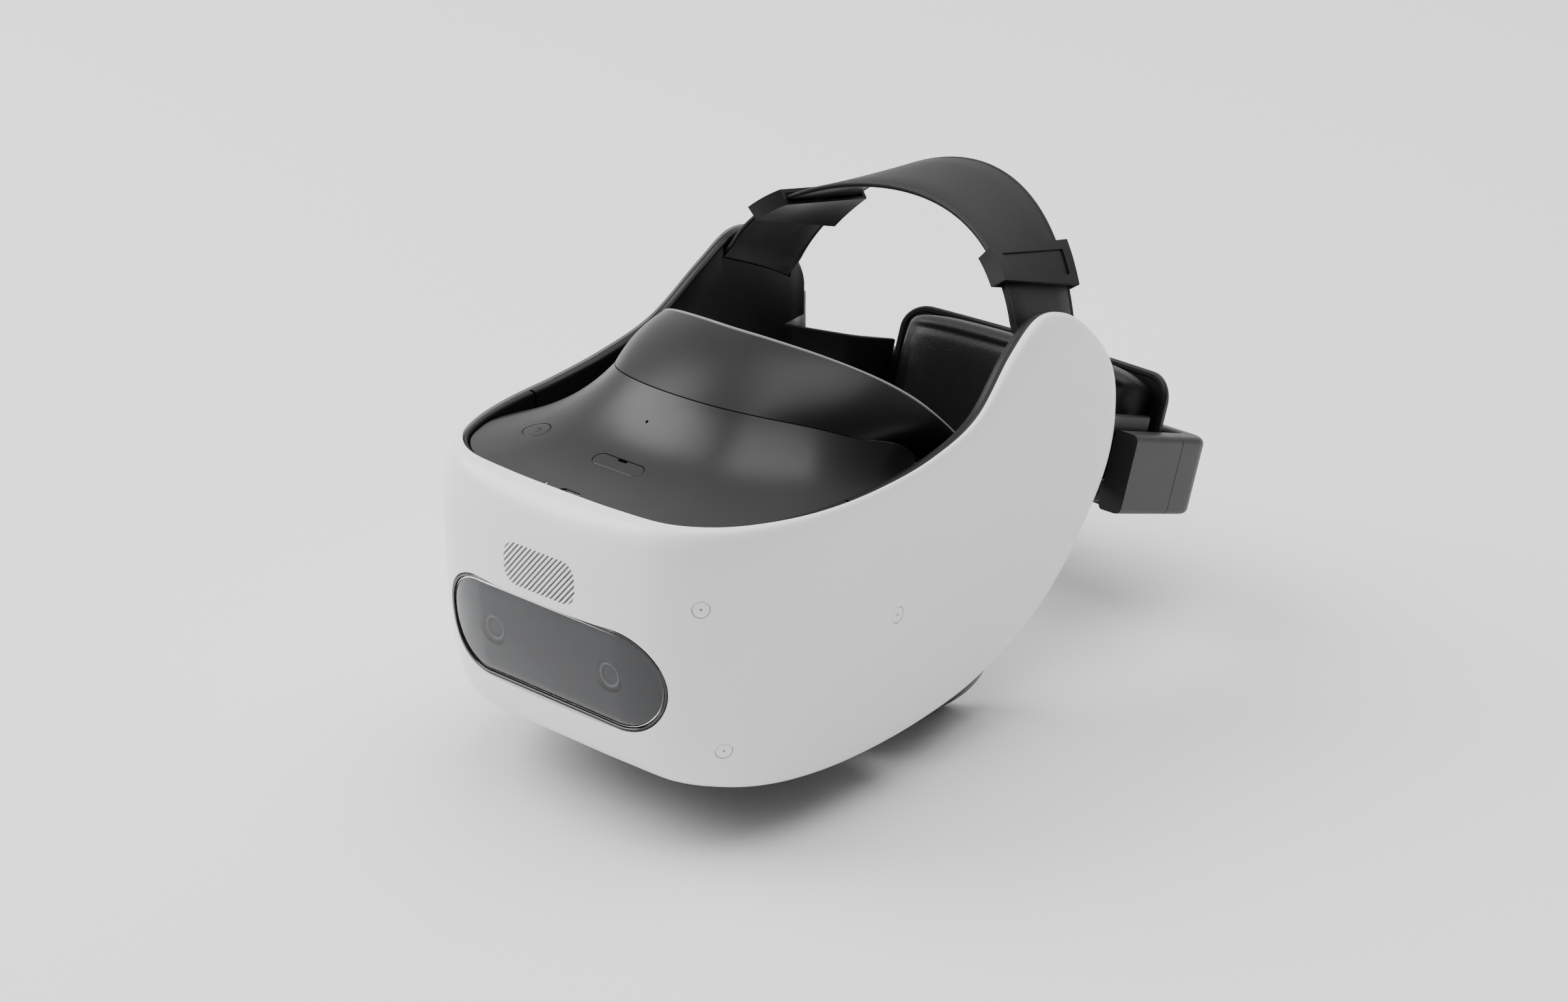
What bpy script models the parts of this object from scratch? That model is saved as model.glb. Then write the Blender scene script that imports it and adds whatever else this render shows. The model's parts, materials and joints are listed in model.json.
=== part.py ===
"""Stand-alone virtual-reality headset, built as an assembly of separate sub-parts.

The wearer's left is +X, the front of the headset faces -Y and +Z is up.  All driving
dimensions are in millimetres in the head frame, whose zero lies on the symmetry plane,
between the temples at brow height.  The last step moves every piece so that the origin
is the bottom centre of the whole headset's box.
"""
import math

import bmesh
import bpy
import numpy as np
from mathutils import Matrix, Vector

MM = 0.001
GAP = 0.3                 # clearance between pieces that touch
RUN = 0.06                # radial clearance of a shaft that turns or slides in a bore

# White shell: half of the plan path from the nose of the headset to the wing's tail.
# Each station: half width x, y, top edge z, bottom edge z, inward roll of the top edge,
# inward roll of the bottom edge, height of the widest line.
SHELL_STATIONS = (
    (0.0, -148.0, 52.0, -60.0, 15.0, 25.0, 22.0),
    (30.0, -146.8, 52.3, -60.3, 14.0, 24.0, 22.0),
    (56.0, -141.0, 52.8, -61.2, 11.0, 20.0, 20.0),
    (74.0, -126.0, 52.3, -62.6, 8.5, 16.0, 16.0),
    (85.0, -104.0, 50.8, -65.4, 7.0, 13.0, 12.0),
    (91.0, -77.0, 49.3, -67.4, 5.5, 11.0, 8.0),
    (93.5, -46.0, 48.8, -68.5, 5.0, 10.0, 5.0),
    (94.5, -15.0, 51.0, -67.5, 5.0, 9.0, 5.0),
    (94.5, 15.0, 58.0, -64.5, 6.0, 8.5, 8.0),
    (94.0, 42.0, 76.0, -57.0, 9.0, 8.0, 14.0),
    (93.3, 62.0, 86.0, -49.0, 9.5, 7.5, 20.0),
    (92.5, 82.0, 82.0, -35.0, 9.0, 7.0, 24.0),
    (91.8, 98.0, 70.5, -17.0, 7.5, 6.0, 26.0),
    (90.8, 109.0, 58.5, -1.0, 5.5, 4.5, 27.0),
    (88.8, 115.5, 48.0, 12.0, 4.0, 3.5, 28.0),
    (85.8, 118.0, 40.0, 20.0, 3.0, 3.0, 30.0),
)
SHELL_WALL = 2.4
ROLL_TOP = 2.6            # superellipse exponent of the rolled top edge
ROLL_BOTTOM = 2.8         # and of the bottom edge

# Hood: the seam where it leaves the deck and the flat underside, and the rim that meets
# the face (x, y, z).
BELLY_Z = -60.5
HOOD_SEAM = (
    (0.0, -70.0, 72.0), (20.0, -67.5, 71.2), (38.0, -60.0, 69.0), (53.0, -46.0, 64.0),
    (64.0, -30.0, 57.0), (70.0, -12.0, 50.0), (72.5, 0.0, 38.0), (73.5, 6.0, 22.0),
    (73.5, 8.0, 5.0), (73.0, 6.0, -15.0), (71.0, 2.0, -36.0), (69.0, -1.0, -51.0),
    (63.0, -9.0, BELLY_Z + 1.5), (51.0, -19.0, BELLY_Z), (41.0, -27.0, BELLY_Z), (31.0, -32.5, BELLY_Z),
    (21.0, -36.5, BELLY_Z), (10.5, -38.5, BELLY_Z), (0.0, -39.0, BELLY_Z),
)
HOOD_RIM = (
    (0.0, -33.0, 88.5), (20.0, -31.0, 87.6), (40.0, -24.0, 83.5), (56.0, -13.0, 76.0),
    (66.0, -2.0, 67.0), (72.0, 8.0, 57.0), (75.0, 20.0, 44.0), (76.5, 33.0, 28.0),
    (77.0, 43.0, 8.0), (76.5, 50.0, -15.0), (75.0, 55.0, -38.0), (74.0, 54.0, -59.0),
    (71.5, 48.5, -77.0), (65.0, 39.5, -88.5), (54.0, 33.5, -92.5), (41.0, 30.0, -88.0),
    (28.0, 26.5, -75.5), (14.5, 22.5, -60.0), (0.0, 19.5, -51.5),
)
HOOD_WALL = 2.6
HOOD_BULGE = 2.0
CHEEK_BULGE = 7.0         # further bulge of the hood beside and under the cheeks
CUSHION_RISE = 2.4        # foam standing proud of the hood's rim
CUSHION_WIDTH = 9.0       # foam width, inward from the rim

# Deck on top of the front body
DECK_WALL = 2.2
DECK_REACH = 0.475        # share of the shell path the deck follows on each side
DECK_SEAM = 0.31          # share of the hood's seam the deck follows on each side
DECK_FLARE = 3.2          # power of the rise towards the hood
LINER_THIN = 1.6          # black liner at the front
LINER_THICK = 4.6         # and along the wings
LINER_DROP = 0.8          # liner top below the white edge
FRONT_LINER_SHARE = 0.36  # share of the path that belongs to the front liner
FRONT_LINER_DEPTH = 15.0
WING_LINER_END = 0.955
WING_LINER_STEP = (0.735, 0.785)   # shares of the path where its lower edge rises over the side band
BELLY_WALL = 2.8
BELLY_REACH = 0.45        # share of the shell path the cover follows on each side
BELLY_REAR = 0.30         # share of the hood's seam that its rear edge follows on each side

# Visor and the pieces behind it
VISOR_HALF = 57.0
VISOR_RADIUS = 21.0
VISOR_Z = -14.0
GLASS_WALL = 2.2
BEZEL = 1.3
CAMERA_X = 31.0
CAMERA_RADIUS = 7.6
CAMERA_DEPTH = 13.0
VENT_CENTRE_Z = 22.0
VENT_HALF_WIDTH = 19.0
VENT_HALF_HEIGHT = 9.2
VENT_SLOTS = 17
VENT_PITCH = 1.75
VENT_SLOT = 0.8
VENT_ANGLE = 49.0

# Small pieces set into the shell: (share of the path, share of the section)
SENSOR_PLACES = ((0.180, 0.475), (0.410, 0.525), (0.205, 0.720))
SENSOR_RADIUS = 3.4
SENSOR_DEPTH = 5.0

# Controls and sockets on the deck
POWER_X = -49.0
POWER_Y = -97.0
POWER_RADIUS = 5.75
POWER_TRAVEL = 0.8
CARD_Y = -101.5
CARD_HALF = 12.7
CARD_RADIUS = 3.5
MIC_X = -4.0
MIC_Y = -80.0
USB_Y = -129.6
USB_WIDTH = 8.94
USB_HEIGHT = 3.26
LED_X = -13.0

# Optics
LENS_X = 31.5             # half of the eye distance at rest
LENS_Z = -8.0
TUBE_RADIUS = 26.0
TUBE_WALL = 2.0
ROD_RISE = 5.5            # guide rods above and below the tubes
TUBE_FRONT = -82.0
TUBE_REAR = -42.0
LENS_THICK = 6.0
IPD_WHEEL_RADIUS = 15.0
IPD_WHEEL_Z = BELLY_Z + IPD_WHEEL_RADIUS - 3.0   # its rim stands 3 mm out of the belly
IPD_PINION_RADIUS = 5.0
IPD_TEETH = 12
ROD_RADIUS = 1.5
LUG_EDGE = 3.4            # tube's lug beyond a rod's centre

# Strap over the head
STRAP_SPAN = 79.0
STRAP_BASE_Z = 55.0
STRAP_RISE = 62.0
STRAP_Y = 106.5
STRAP_LEAN = 31.0
STRAP_WIDTH = 51.0
STRAP_WALL = 2.2
STRAP_TWIST = 26.0        # degrees the ends lean
STRAP_TUCK = 6.5
KEEPER_ANGLE = 50.0
KEEPER_HALF = 7.0         # degrees of strap arc
KEEPER_WALL = 1.8
KEEPER_CLEAR = 1.2

# Rear unit, in its own frame tilted down towards the back
REAR_TILT = 20.0
REAR_Y = 150.0
BAND_MEET_Y = 93.6        # where the side bands leave the wings
BAND_MEET_Z = 15.528
BAND_START = (BAND_MEET_Y - REAR_Y) / math.cos(math.radians(REAR_TILT))
REAR_Z = BAND_MEET_Z + BAND_START * math.sin(math.radians(REAR_TILT))
BAND_STEPS = 18
BAND_WALL = 3.2
BAND_TOP = 14.4
BAND_HEIGHT = 30.0
BAND_TONGUE_X = 72.5
BAND_BEND = -16.0         # where they turn straight into the cradle
BAND_END = 13.0
CRADLE_TOP = 8.5
CRADLE_HEIGHT = 36.0
CRADLE_HALF = 88.5
CRADLE_WALL = 12.0
CRADLE_FRONT = -18.0
CRADLE_BACK = 50.0
CRADLE_BOW = 4.0
CRADLE_CORNER = 13.0
CAP_JOINT = 22.0
PAD_HALF = 62.0
PAD_TOP = 33.0
PAD_BOTTOM = -33.0
BACKING_HALF = 75.5
BACKING_WALL = 4.0
DIAL_RADIUS = 17.0
DIAL_DEPTH = 9.0
DIAL_PINION = 6.0
DIAL_TEETH = 14
RACK_LENGTH = 69.0
RACK_REACH = 27.0         # how far a fit rack passes the dial's axis

COLOURS = {
    "shell_white": ((0.80, 0.80, 0.81), 0.42, 0.0),
    "visor_black": ((0.015, 0.015, 0.018), 0.06, 0.0),
    "satin_black": ((0.030, 0.030, 0.032), 0.38, 0.0),
    "deck_grey": ((0.045, 0.045, 0.048), 0.33, 0.0),
    "soft_black": ((0.022, 0.022, 0.024), 0.70, 0.0),
    "foam_grey": ((0.16, 0.16, 0.165), 0.90, 0.0),
    "leather_black": ((0.020, 0.020, 0.022), 0.48, 0.0),
    "lens_clear": ((0.80, 0.86, 0.90), 0.03, 0.0),
    "steel": ((0.62, 0.63, 0.65), 0.30, 1.0),
    "aluminium": ((0.70, 0.71, 0.73), 0.38, 1.0),
    "board_green": ((0.02, 0.12, 0.06), 0.50, 0.0),
    "battery_blue": ((0.08, 0.10, 0.16), 0.45, 0.0),
    "display_dark": ((0.010, 0.012, 0.020), 0.10, 0.0),
    "led_white": ((0.75, 0.78, 0.80), 0.25, 0.0),
}

materials = {}
parts = []


# ---------------------------------------------------------------- basic helpers

def clear_scene():
    """Remove every object that the scene starts with."""
    for item in list(bpy.data.objects):
        bpy.data.objects.remove(item, do_unlink=True)


def get_material(name):
    """Principled material for one finish, made once."""
    if name not in materials:
        colour, roughness, metallic = COLOURS[name]
        made = bpy.data.materials.new(name)
        made.use_nodes = True
        shader = made.node_tree.nodes["Principled BSDF"]
        shader.inputs["Base Color"].default_value = (*colour, 1.0)
        shader.inputs["Roughness"].default_value = roughness
        shader.inputs["Metallic"].default_value = metallic
        made.diffuse_color = (*colour, 1.0)
        materials[name] = made
    return materials[name]


def raw_object(name, verts, faces):
    """Closed mesh from points in mm, with its normals turned outward."""
    mesh = bpy.data.meshes.new(name)
    mesh.from_pydata([tuple(float(c) * MM for c in v) for v in verts], [], faces)
    work = bmesh.new()
    work.from_mesh(mesh)
    bmesh.ops.remove_doubles(work, verts=work.verts, dist=0.00002)
    bmesh.ops.recalc_face_normals(work, faces=work.faces)
    work.to_mesh(mesh)
    work.free()
    item = bpy.data.objects.new(name, mesh)
    bpy.context.scene.collection.objects.link(item)
    return item


def finish(item, material, origin=(0.0, 0.0, 0.0), sharp=32.0):
    """Give a piece its material, its smooth shading and its origin, and keep it."""
    mesh = item.data
    mesh.materials.clear()
    mesh.materials.append(get_material(material))
    for face in mesh.polygons:
        face.use_smooth = True
        face.material_index = 0
    mesh.set_sharp_from_angle(angle=math.radians(sharp))
    shift = Vector(origin) * MM
    mesh.transform(Matrix.Translation(-shift))
    item.location = shift
    parts.append(item)
    return item


def combine(item, other, operation):
    """Exact Boolean of two closed solids, applied; the second one is removed."""
    modifier = item.modifiers.new("combine", "BOOLEAN")
    modifier.object = other
    modifier.operation = operation
    modifier.solver = "EXACT"
    bpy.context.view_layer.update()
    graph = bpy.context.evaluated_depsgraph_get()
    mesh = bpy.data.meshes.new_from_object(item.evaluated_get(graph))
    item.modifiers.clear()
    old = item.data
    item.data = mesh
    bpy.data.meshes.remove(old)
    bpy.data.objects.remove(other, do_unlink=True)
    work = bmesh.new()
    work.from_mesh(mesh)
    bmesh.ops.remove_doubles(work, verts=work.verts, dist=0.00001)
    bmesh.ops.dissolve_degenerate(work, edges=work.edges, dist=0.000005)
    work.to_mesh(mesh)
    work.free()
    return item


def cut(item, other):
    """Take the second solid away from the first."""
    return combine(item, other, "DIFFERENCE")


def join(item, other):
    """Weld the second solid to the first."""
    return combine(item, other, "UNION")


def keep(item, other):
    """Keep what the two solids share."""
    return combine(item, other, "INTERSECT")


def slab(name, outer, inner, wrap=False):
    """Closed solid between two equal grids of points, each [along][across]."""
    rows = len(outer)
    cols = len(outer[0])
    verts = [p for row in outer for p in row] + [p for row in inner for p in row]
    half = rows * cols
    faces = []

    def index(i, j, side):
        return side * half + (i % rows) * cols + j

    last = rows if wrap else rows - 1
    for i in range(last):
        for j in range(cols - 1):
            faces.append((index(i, j, 0), index(i + 1, j, 0), index(i + 1, j + 1, 0), index(i, j + 1, 0)))
            faces.append((index(i, j, 1), index(i, j + 1, 1), index(i + 1, j + 1, 1), index(i + 1, j, 1)))
        for j in (0, cols - 1):
            faces.append((index(i, j, 0), index(i, j, 1), index(i + 1, j, 1), index(i + 1, j, 0)))
    if not wrap:
        for i in (0, rows - 1):
            for j in range(cols - 1):
                faces.append((index(i, j, 0), index(i, j + 1, 0), index(i, j + 1, 1), index(i, j, 1)))
    return raw_object(name, verts, faces)


def loft(name, rings):
    """Closed solid through equal rings of points, with a flat cap at each end."""
    count = len(rings[0])
    verts = [p for ring in rings for p in ring]
    faces = []
    for i in range(len(rings) - 1):
        for j in range(count):
            k = (j + 1) % count
            faces.append((i * count + j, i * count + k, (i + 1) * count + k, (i + 1) * count + j))
    faces.append(tuple(range(count)))
    faces.append(tuple((len(rings) - 1) * count + j for j in range(count)))
    return raw_object(name, verts, faces)


def prism(name, outline, axis, low, high, place=None):
    """Extrude a closed outline along an axis: outline is (x, z) for y, (x, y) for z, (y, z) for x."""
    def point(a, b, c):
        local = {"x": (c, a, b), "y": (a, c, b), "z": (a, b, c)}[axis]
        return place(local) if place else local
    return loft(name, [[point(a, b, low) for a, b in outline], [point(a, b, high) for a, b in outline]])


def box(name, low, high, place=None):
    """Plain box between two corners."""
    outline = ((low[0], low[1]), (high[0], low[1]), (high[0], high[1]), (low[0], high[1]))
    return prism(name, outline, "z", low[2], high[2], place)


def circle(radius, count=40, centre=(0.0, 0.0), start=0.0):
    """Points of a circle."""
    return [(centre[0] + radius * math.cos(start + 2 * math.pi * i / count),
             centre[1] + radius * math.sin(start + 2 * math.pi * i / count)) for i in range(count)]


def stadium(half, radius, centre=(0.0, 0.0), steps=16):
    """Long outline with round ends: half is the half length over all."""
    points = []
    for side in (1, -1):
        for i in range(steps + 1):
            angle = -math.pi / 2 + math.pi * i / steps
            x = side * (half - radius + radius * math.cos(angle))
            points.append((centre[0] + x, centre[1] + side * radius * math.sin(angle)))
    return points


def rounded(half_x, half_y, radius, centre=(0.0, 0.0), steps=6):
    """Rectangle outline with round corners."""
    points = []
    for corner, (sx, sy) in enumerate(((1, 1), (-1, 1), (-1, -1), (1, -1))):
        for i in range(steps + 1):
            angle = math.pi / 2 * (corner + i / steps)
            points.append((centre[0] + sx * (half_x - radius) + radius * math.cos(angle),
                           centre[1] + sy * (half_y - radius) + radius * math.sin(angle)))
    return points


def gear_outline(teeth, radius, depth, centre=(0.0, 0.0), phase=0.0):
    """Simple trapezoid teeth round a pitch circle."""
    points = []
    for i in range(teeth):
        for share, height in ((-0.30, -0.5), (-0.14, 0.5), (0.14, 0.5), (0.30, -0.5)):
            angle = 2 * math.pi * (i + share) / teeth + phase
            r = radius + depth * height
            points.append((centre[0] + r * math.cos(angle), centre[1] + r * math.sin(angle)))
    return points


def revolve(name, profile, axis, centre, count=40, place=None):
    """Turn a closed (radius, along) profile round an axis that passes through centre."""
    rings = []
    for i in range(count):
        angle = 2 * math.pi * i / count
        ring = []
        for radius, along in profile:
            a = radius * math.cos(angle)
            b = radius * math.sin(angle)
            local = {"x": (along, a, b), "y": (a, along, b), "z": (a, b, along)}[axis]
            local = tuple(local[k] + centre[k] for k in range(3))
            ring.append(place(local) if place else local)
        rings.append(ring)
    verts = [p for ring in rings for p in ring]
    size = len(profile)
    faces = []
    for i in range(count):
        n = (i + 1) % count
        for j in range(size):
            k = (j + 1) % size
            faces.append((i * size + j, n * size + j, n * size + k, i * size + k))
    return raw_object(name, verts, faces)


def disc(name, radius, axis, low, high, centre, count=40, place=None):
    """Solid cylinder along an axis."""
    index = "xyz".index(axis)
    flat = [centre[k] for k in range(3) if k != index]
    return prism(name, circle(radius, count, flat), axis, low, high, place)


# ---------------------------------------------------------------- shared curves

def spline(rows, t, mirror=True, closed=False):
    """Catmull-Rom value at t from 0 to 1; mirror starts, and closed ends, square to the symmetry plane."""
    rows = np.asarray(rows, dtype=float)
    count = len(rows) - 1
    s = min(max(t, 0.0), 1.0) * count
    i = min(int(s), count - 1)
    f = s - i
    p1 = rows[i]
    p2 = rows[i + 1]
    if i > 0:
        p0 = rows[i - 1]
    else:
        p0 = rows[1].copy() if mirror else 2 * p1 - p2
        if mirror:
            p0[0] = -p0[0]
    p3 = rows[i + 2] if i + 2 <= count else 2 * p2 - p1
    if closed and i + 2 > count:
        p3 = p1.copy()
        p3[0] = -p3[0]
    return 0.5 * (2 * p1 + (p2 - p0) * f + (2 * p0 - 5 * p1 + 4 * p2 - p3) * f * f
                  + (3 * p1 - p0 - 3 * p2 + p3) * f ** 3)


def shell_frame(u):
    """Station of the shell at u from -1 to 1: point, outward plan normal and its heights."""
    side = 1.0 if u >= 0 else -1.0
    row = spline(SHELL_STATIONS, abs(u))
    step = 0.002
    before = spline(SHELL_STATIONS, max(abs(u) - step, 0.0))
    after = spline(SHELL_STATIONS, min(abs(u) + step, 1.0))
    dx = after[0] - before[0]
    dy = after[1] - before[1]
    if abs(u) < step:
        dx, dy = 1.0, 0.0
    size = math.hypot(dx, dy)
    normal = (side * dy / size, -dx / size)
    return (side * row[0], row[1]), normal, row[2:]


def shell_point(u, share, inset=0.0):
    """Point of the shell's section: share 0 is the top edge, 1 the bottom edge."""
    (x, y), (nx, ny), (top, bottom, roll_top, roll_bottom, belly) = shell_frame(u)
    angle = math.pi * share
    if share <= 0.5:
        power = 2 / ROLL_TOP
        height = top - belly - inset
        z = belly + height * max(math.cos(angle), 0.0) ** power
        out = -inset - max(roll_top - inset, 0.2) * (1 - math.sin(angle) ** power)
    else:
        power = 2 / ROLL_BOTTOM
        height = belly - bottom - inset
        z = belly - height * max(-math.cos(angle), 0.0) ** power
        out = -inset - max(roll_bottom - inset, 0.2) * (1 - max(math.sin(angle), 0.0) ** power)
    return (x + nx * out, y + ny * out, z)


def shell_grid(inset, along=58, across=14, reach=1.0):
    """Grid of section points at one inset."""
    return [[shell_point(reach * (2 * i / along - 1), j / across, inset) for j in range(across + 1)]
            for i in range(along + 1)]


def inner_edge(u, extra, height):
    """Point inside the rolled edges: extra mm further in, height 0 at the top and 1 at the bottom."""
    (x, y), (nx, ny), (top, bottom, roll_top, roll_bottom, belly) = shell_frame(u)
    roll = roll_top * (1 - height) + roll_bottom * height
    z = top * (1 - height) + bottom * height
    return (x - nx * (roll + extra), y - ny * (roll + extra), z)


def smooth_step(a, b, value):
    """Smooth 0 to 1 between a and b."""
    t = min(max((value - a) / (b - a), 0.0), 1.0)
    return t * t * (3 - 2 * t)


def liner_wall(u):
    """Thickness of the black liner at a share of the path."""
    return LINER_THIN + (LINER_THICK - LINER_THIN) * smooth_step(0.12, 0.45, abs(u))


def loop_point(rows, v):
    """Point of a symmetric loop: v 0 is the top middle, 1 the bottom middle, negative on the other side."""
    x, y, z = spline(rows, abs(v), closed=True)
    return (x if v >= 0 else -x, y, z)


def hood_point(v, s, inset=0.0):
    """Point of the hood: s 0 is the seam, 1 the rim; inset goes into the hood."""
    a = np.array(loop_point(HOOD_SEAM, v))
    b = np.array(loop_point(HOOD_RIM, v))
    base = a * (1 - s) + b * s
    centre = np.array((0.0, base[1], -2.0))
    away = base - centre
    away[1] = 0.0
    away /= np.linalg.norm(away)
    if abs(v) > 0.78:
        blend = smooth_step(0.78, 0.9, abs(v))
        down = np.array((0.0, -0.5, -1.0))
        away = away * (1 - blend) + down / np.linalg.norm(down) * blend
        away /= np.linalg.norm(away)
    bulge = HOOD_BULGE + CHEEK_BULGE * smooth_step(0.56, 0.68, abs(v)) * (1 - smooth_step(0.78, 0.92, abs(v)))
    return tuple(base + away * (bulge * 4 * s * (1 - s) - inset))


def tilt(point):
    """Rear-unit frame to head frame: x across, a towards the back, b up."""
    x, a, b = point
    angle = math.radians(REAR_TILT)
    return (x, REAR_Y + a * math.cos(angle) + b * math.sin(angle),
            REAR_Z - a * math.sin(angle) + b * math.cos(angle))


def strap_frame(angle):
    """Centre, unit across, unit outward of the strap at an angle from the crown (radians)."""
    s = math.sin(angle)
    tuck = STRAP_TUCK * smooth_step(math.radians(72), math.radians(90), abs(angle)) * (1 if s > 0 else -1)
    centre = np.array((STRAP_SPAN * s + tuck, STRAP_Y - STRAP_LEAN * s * s,
                       STRAP_BASE_Z + STRAP_RISE * math.cos(angle)))
    twist = math.radians(STRAP_TWIST) * s * s
    across = np.array((0.0, math.cos(twist), -math.sin(twist)))
    return centre, across


def strap_point(angle, side, lift):
    """Point of the strap: side -1 to 1 across its width, lift outward in mm."""
    centre, across = strap_frame(angle)
    step = 0.004
    ahead = strap_frame(angle + step)[0]
    behind = strap_frame(angle - step)[0]
    along = ahead - behind
    along /= np.linalg.norm(along)
    outward = np.cross(along, across)
    outward /= np.linalg.norm(outward)
    if outward[2] + outward[0] * math.sin(angle) < 0:
        outward = -outward
    return tuple(centre + across * side + outward * lift)


def strap_solid(name, start, end, half_width, low, high, steps):
    """Length of strap-shaped solid between two angles in degrees."""
    outer = []
    inner = []
    across = (-1.0, 0.0, 1.0)
    for i in range(steps + 1):
        angle = math.radians(start + (end - start) * i / steps)
        outer.append([strap_point(angle, side * half_width, high) for side in across])
        inner.append([strap_point(angle, side * half_width, low) for side in across])
    return slab(name, outer, inner)


# ---------------------------------------------------------------- front body

def build_shell():
    """White outer shell with its visor window, vent slots and sensor holes."""
    shell = slab("outer_shell", shell_grid(0.0), shell_grid(SHELL_WALL))
    window = stadium(VISOR_HALF + BEZEL + 0.5, VISOR_RADIUS + BEZEL + 0.5, (0.0, VISOR_Z), 12)
    cut(shell, prism("window", window, "y", -170.0, -125.0))
    verts = []
    faces = []
    slope = math.radians(VENT_ANGLE)
    for i in range(VENT_SLOTS):
        offset = (i - (VENT_SLOTS - 1) / 2) * VENT_PITCH / math.sin(slope)
        ends = vent_slot_ends(offset, slope)
        if ends is None:
            continue
        (ax, az), (bx, bz) = ends
        nx = -math.sin(slope) * VENT_SLOT / 2
        nz = math.cos(slope) * VENT_SLOT / 2
        base = len(verts)
        for depth in (-156.0, -141.0):
            verts += [(ax + nx, depth, az + nz), (ax - nx, depth, az - nz),
                      (bx - nx, depth, bz - nz), (bx + nx, depth, bz + nz)]
        faces += [tuple(base + k for k in quad) for quad in (
            (0, 1, 2, 3), (7, 6, 5, 4), (0, 4, 5, 1), (1, 5, 6, 2), (2, 6, 7, 3), (3, 7, 4, 0))]
    cut(shell, raw_object("vents", verts, faces))
    for side in (1, -1):
        for u, share in SENSOR_PLACES:
            cut(shell, sensor_plug("hole", side * u, share, SENSOR_RADIUS + 0.2, 6.0, -6.0))
    finish(shell, "shell_white")


def vent_slot_ends(offset, slope):
    """Ends of one slanted vent slot inside the rounded vent patch, or None."""
    inside = []
    for k in range(-80, 81):
        along = k * 0.25
        x = offset + along * math.cos(slope)
        z = VENT_CENTRE_Z + along * math.sin(slope)
        corner = 6.5
        dx = max(abs(x) - (VENT_HALF_WIDTH - corner), 0.0)
        dz = max(abs(z - VENT_CENTRE_Z) - (VENT_HALF_HEIGHT - corner), 0.0)
        if math.hypot(dx, dz) <= corner:
            inside.append((x, z))
    if len(inside) < 6:
        return None
    return inside[0], inside[-1]


def sensor_plug(name, u, share, radius, out, depth, lift=0.0, hole=0.0):
    """Short cylinder square to the shell at one place, from out to depth mm."""
    centre = np.array(shell_point(u, share))
    along = np.array(shell_point(u + 0.004, share)) - np.array(shell_point(u - 0.004, share))
    down = np.array(shell_point(u, share + 0.01)) - np.array(shell_point(u, share - 0.01))
    normal = np.cross(along, down)
    normal /= np.linalg.norm(normal)
    if normal[0] * centre[0] + normal[1] * (centre[1] + 20) < 0:
        normal = -normal
    first = along / np.linalg.norm(along)
    second = np.cross(normal, first)
    rings = []
    for level in (out, depth):
        rings.append([tuple(centre + normal * (level + lift) + first * a + second * b)
                      for a, b in circle(radius, 18 if radius > 1 else 8)])
    return loft(name, rings)


def build_sensors():
    """Six round tracking sensors set flush into the shell."""
    for side, label in ((1, "left"), (-1, "right")):
        for number, (u, share) in enumerate(SENSOR_PLACES, 1):
            plug = sensor_plug("sensor_%s_%d" % (label, number), side * u, share, SENSOR_RADIUS,
                               -0.1, -SENSOR_DEPTH)
            cut(plug, sensor_plug("pinhole", side * u, share, 0.5, 1.0, -2.5))
            finish(plug, "shell_white", shell_point(side * u, share))


def build_visor():
    """Dark visor, its thin bezel and the two cameras behind it."""
    glass = slab("visor_glass", shell_grid(0.7), shell_grid(0.7 + GLASS_WALL))
    outline = stadium(VISOR_HALF, VISOR_RADIUS, (0.0, VISOR_Z), 12)
    keep(glass, prism("limit", outline, "y", -170.0, -125.0))
    finish(glass, "visor_black")
    bezel = slab("visor_bezel", shell_grid(0.1), shell_grid(SHELL_WALL + 1.2))
    outline = stadium(VISOR_HALF + BEZEL, VISOR_RADIUS + BEZEL, (0.0, VISOR_Z), 12)
    keep(bezel, prism("limit", outline, "y", -170.0, -125.0))
    outline = stadium(VISOR_HALF + 0.2, VISOR_RADIUS + 0.2, (0.0, VISOR_Z), 12)
    cut(bezel, prism("limit", outline, "y", -170.0, -125.0))
    finish(bezel, "satin_black")
    for side, label in ((1, "left"), (-1, "right")):
        front = shell_point(side * 0.0687, 0.66)[1] + 0.7 + GLASS_WALL + 0.9
        profile = ((0.0, front + 1.4), (2.6, front + 1.0), (3.4, front + 2.2), (5.0, front + 2.2),
                   (5.6, front), (CAMERA_RADIUS, front), (CAMERA_RADIUS, front + 4.0),
                   (6.2, front + 4.0), (6.2, front + CAMERA_DEPTH), (0.0, front + CAMERA_DEPTH))
        item = revolve("camera_%s" % label, profile, "y", (side * CAMERA_X, 0.0, VISOR_Z), 24)
        finish(item, "satin_black", (side * CAMERA_X, front, VISOR_Z))


def deck_point(v, t, drop=0.0):
    """Point of the deck: v along the path, t 0 at the liner and 1 at the hood's seam."""
    u = v * DECK_REACH
    top, bottom = shell_frame(u)[2][:2]
    sink = 2.2 + 12.0 * smooth_step(0.55, 1.0, abs(v))
    extra = GAP + liner_wall(u) + 2.4 * GAP
    x, y, z = inner_edge(u, extra, sink / (top - bottom))
    start = np.array((x, y, z))
    end = np.array(loop_point(HOOD_SEAM, v * DECK_SEAM))
    flat = start * (1 - t) + end * t
    rise = t ** DECK_FLARE
    z = start[2] * (1 - rise) + end[2] * rise
    return (flat[0], flat[1], z - drop)


def deck_height(x, y):
    """Height of the deck's surface over one plan point, near the middle."""
    best = None
    for i in range(81):
        v = -0.8 + 1.6 * i / 80
        for j in range(41):
            p = deck_point(v, j / 40)
            d = (p[0] - x) ** 2 + (p[1] - y) ** 2
            if best is None or d < best[0]:
                best = (d, p[2])
    return best[1]


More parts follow.
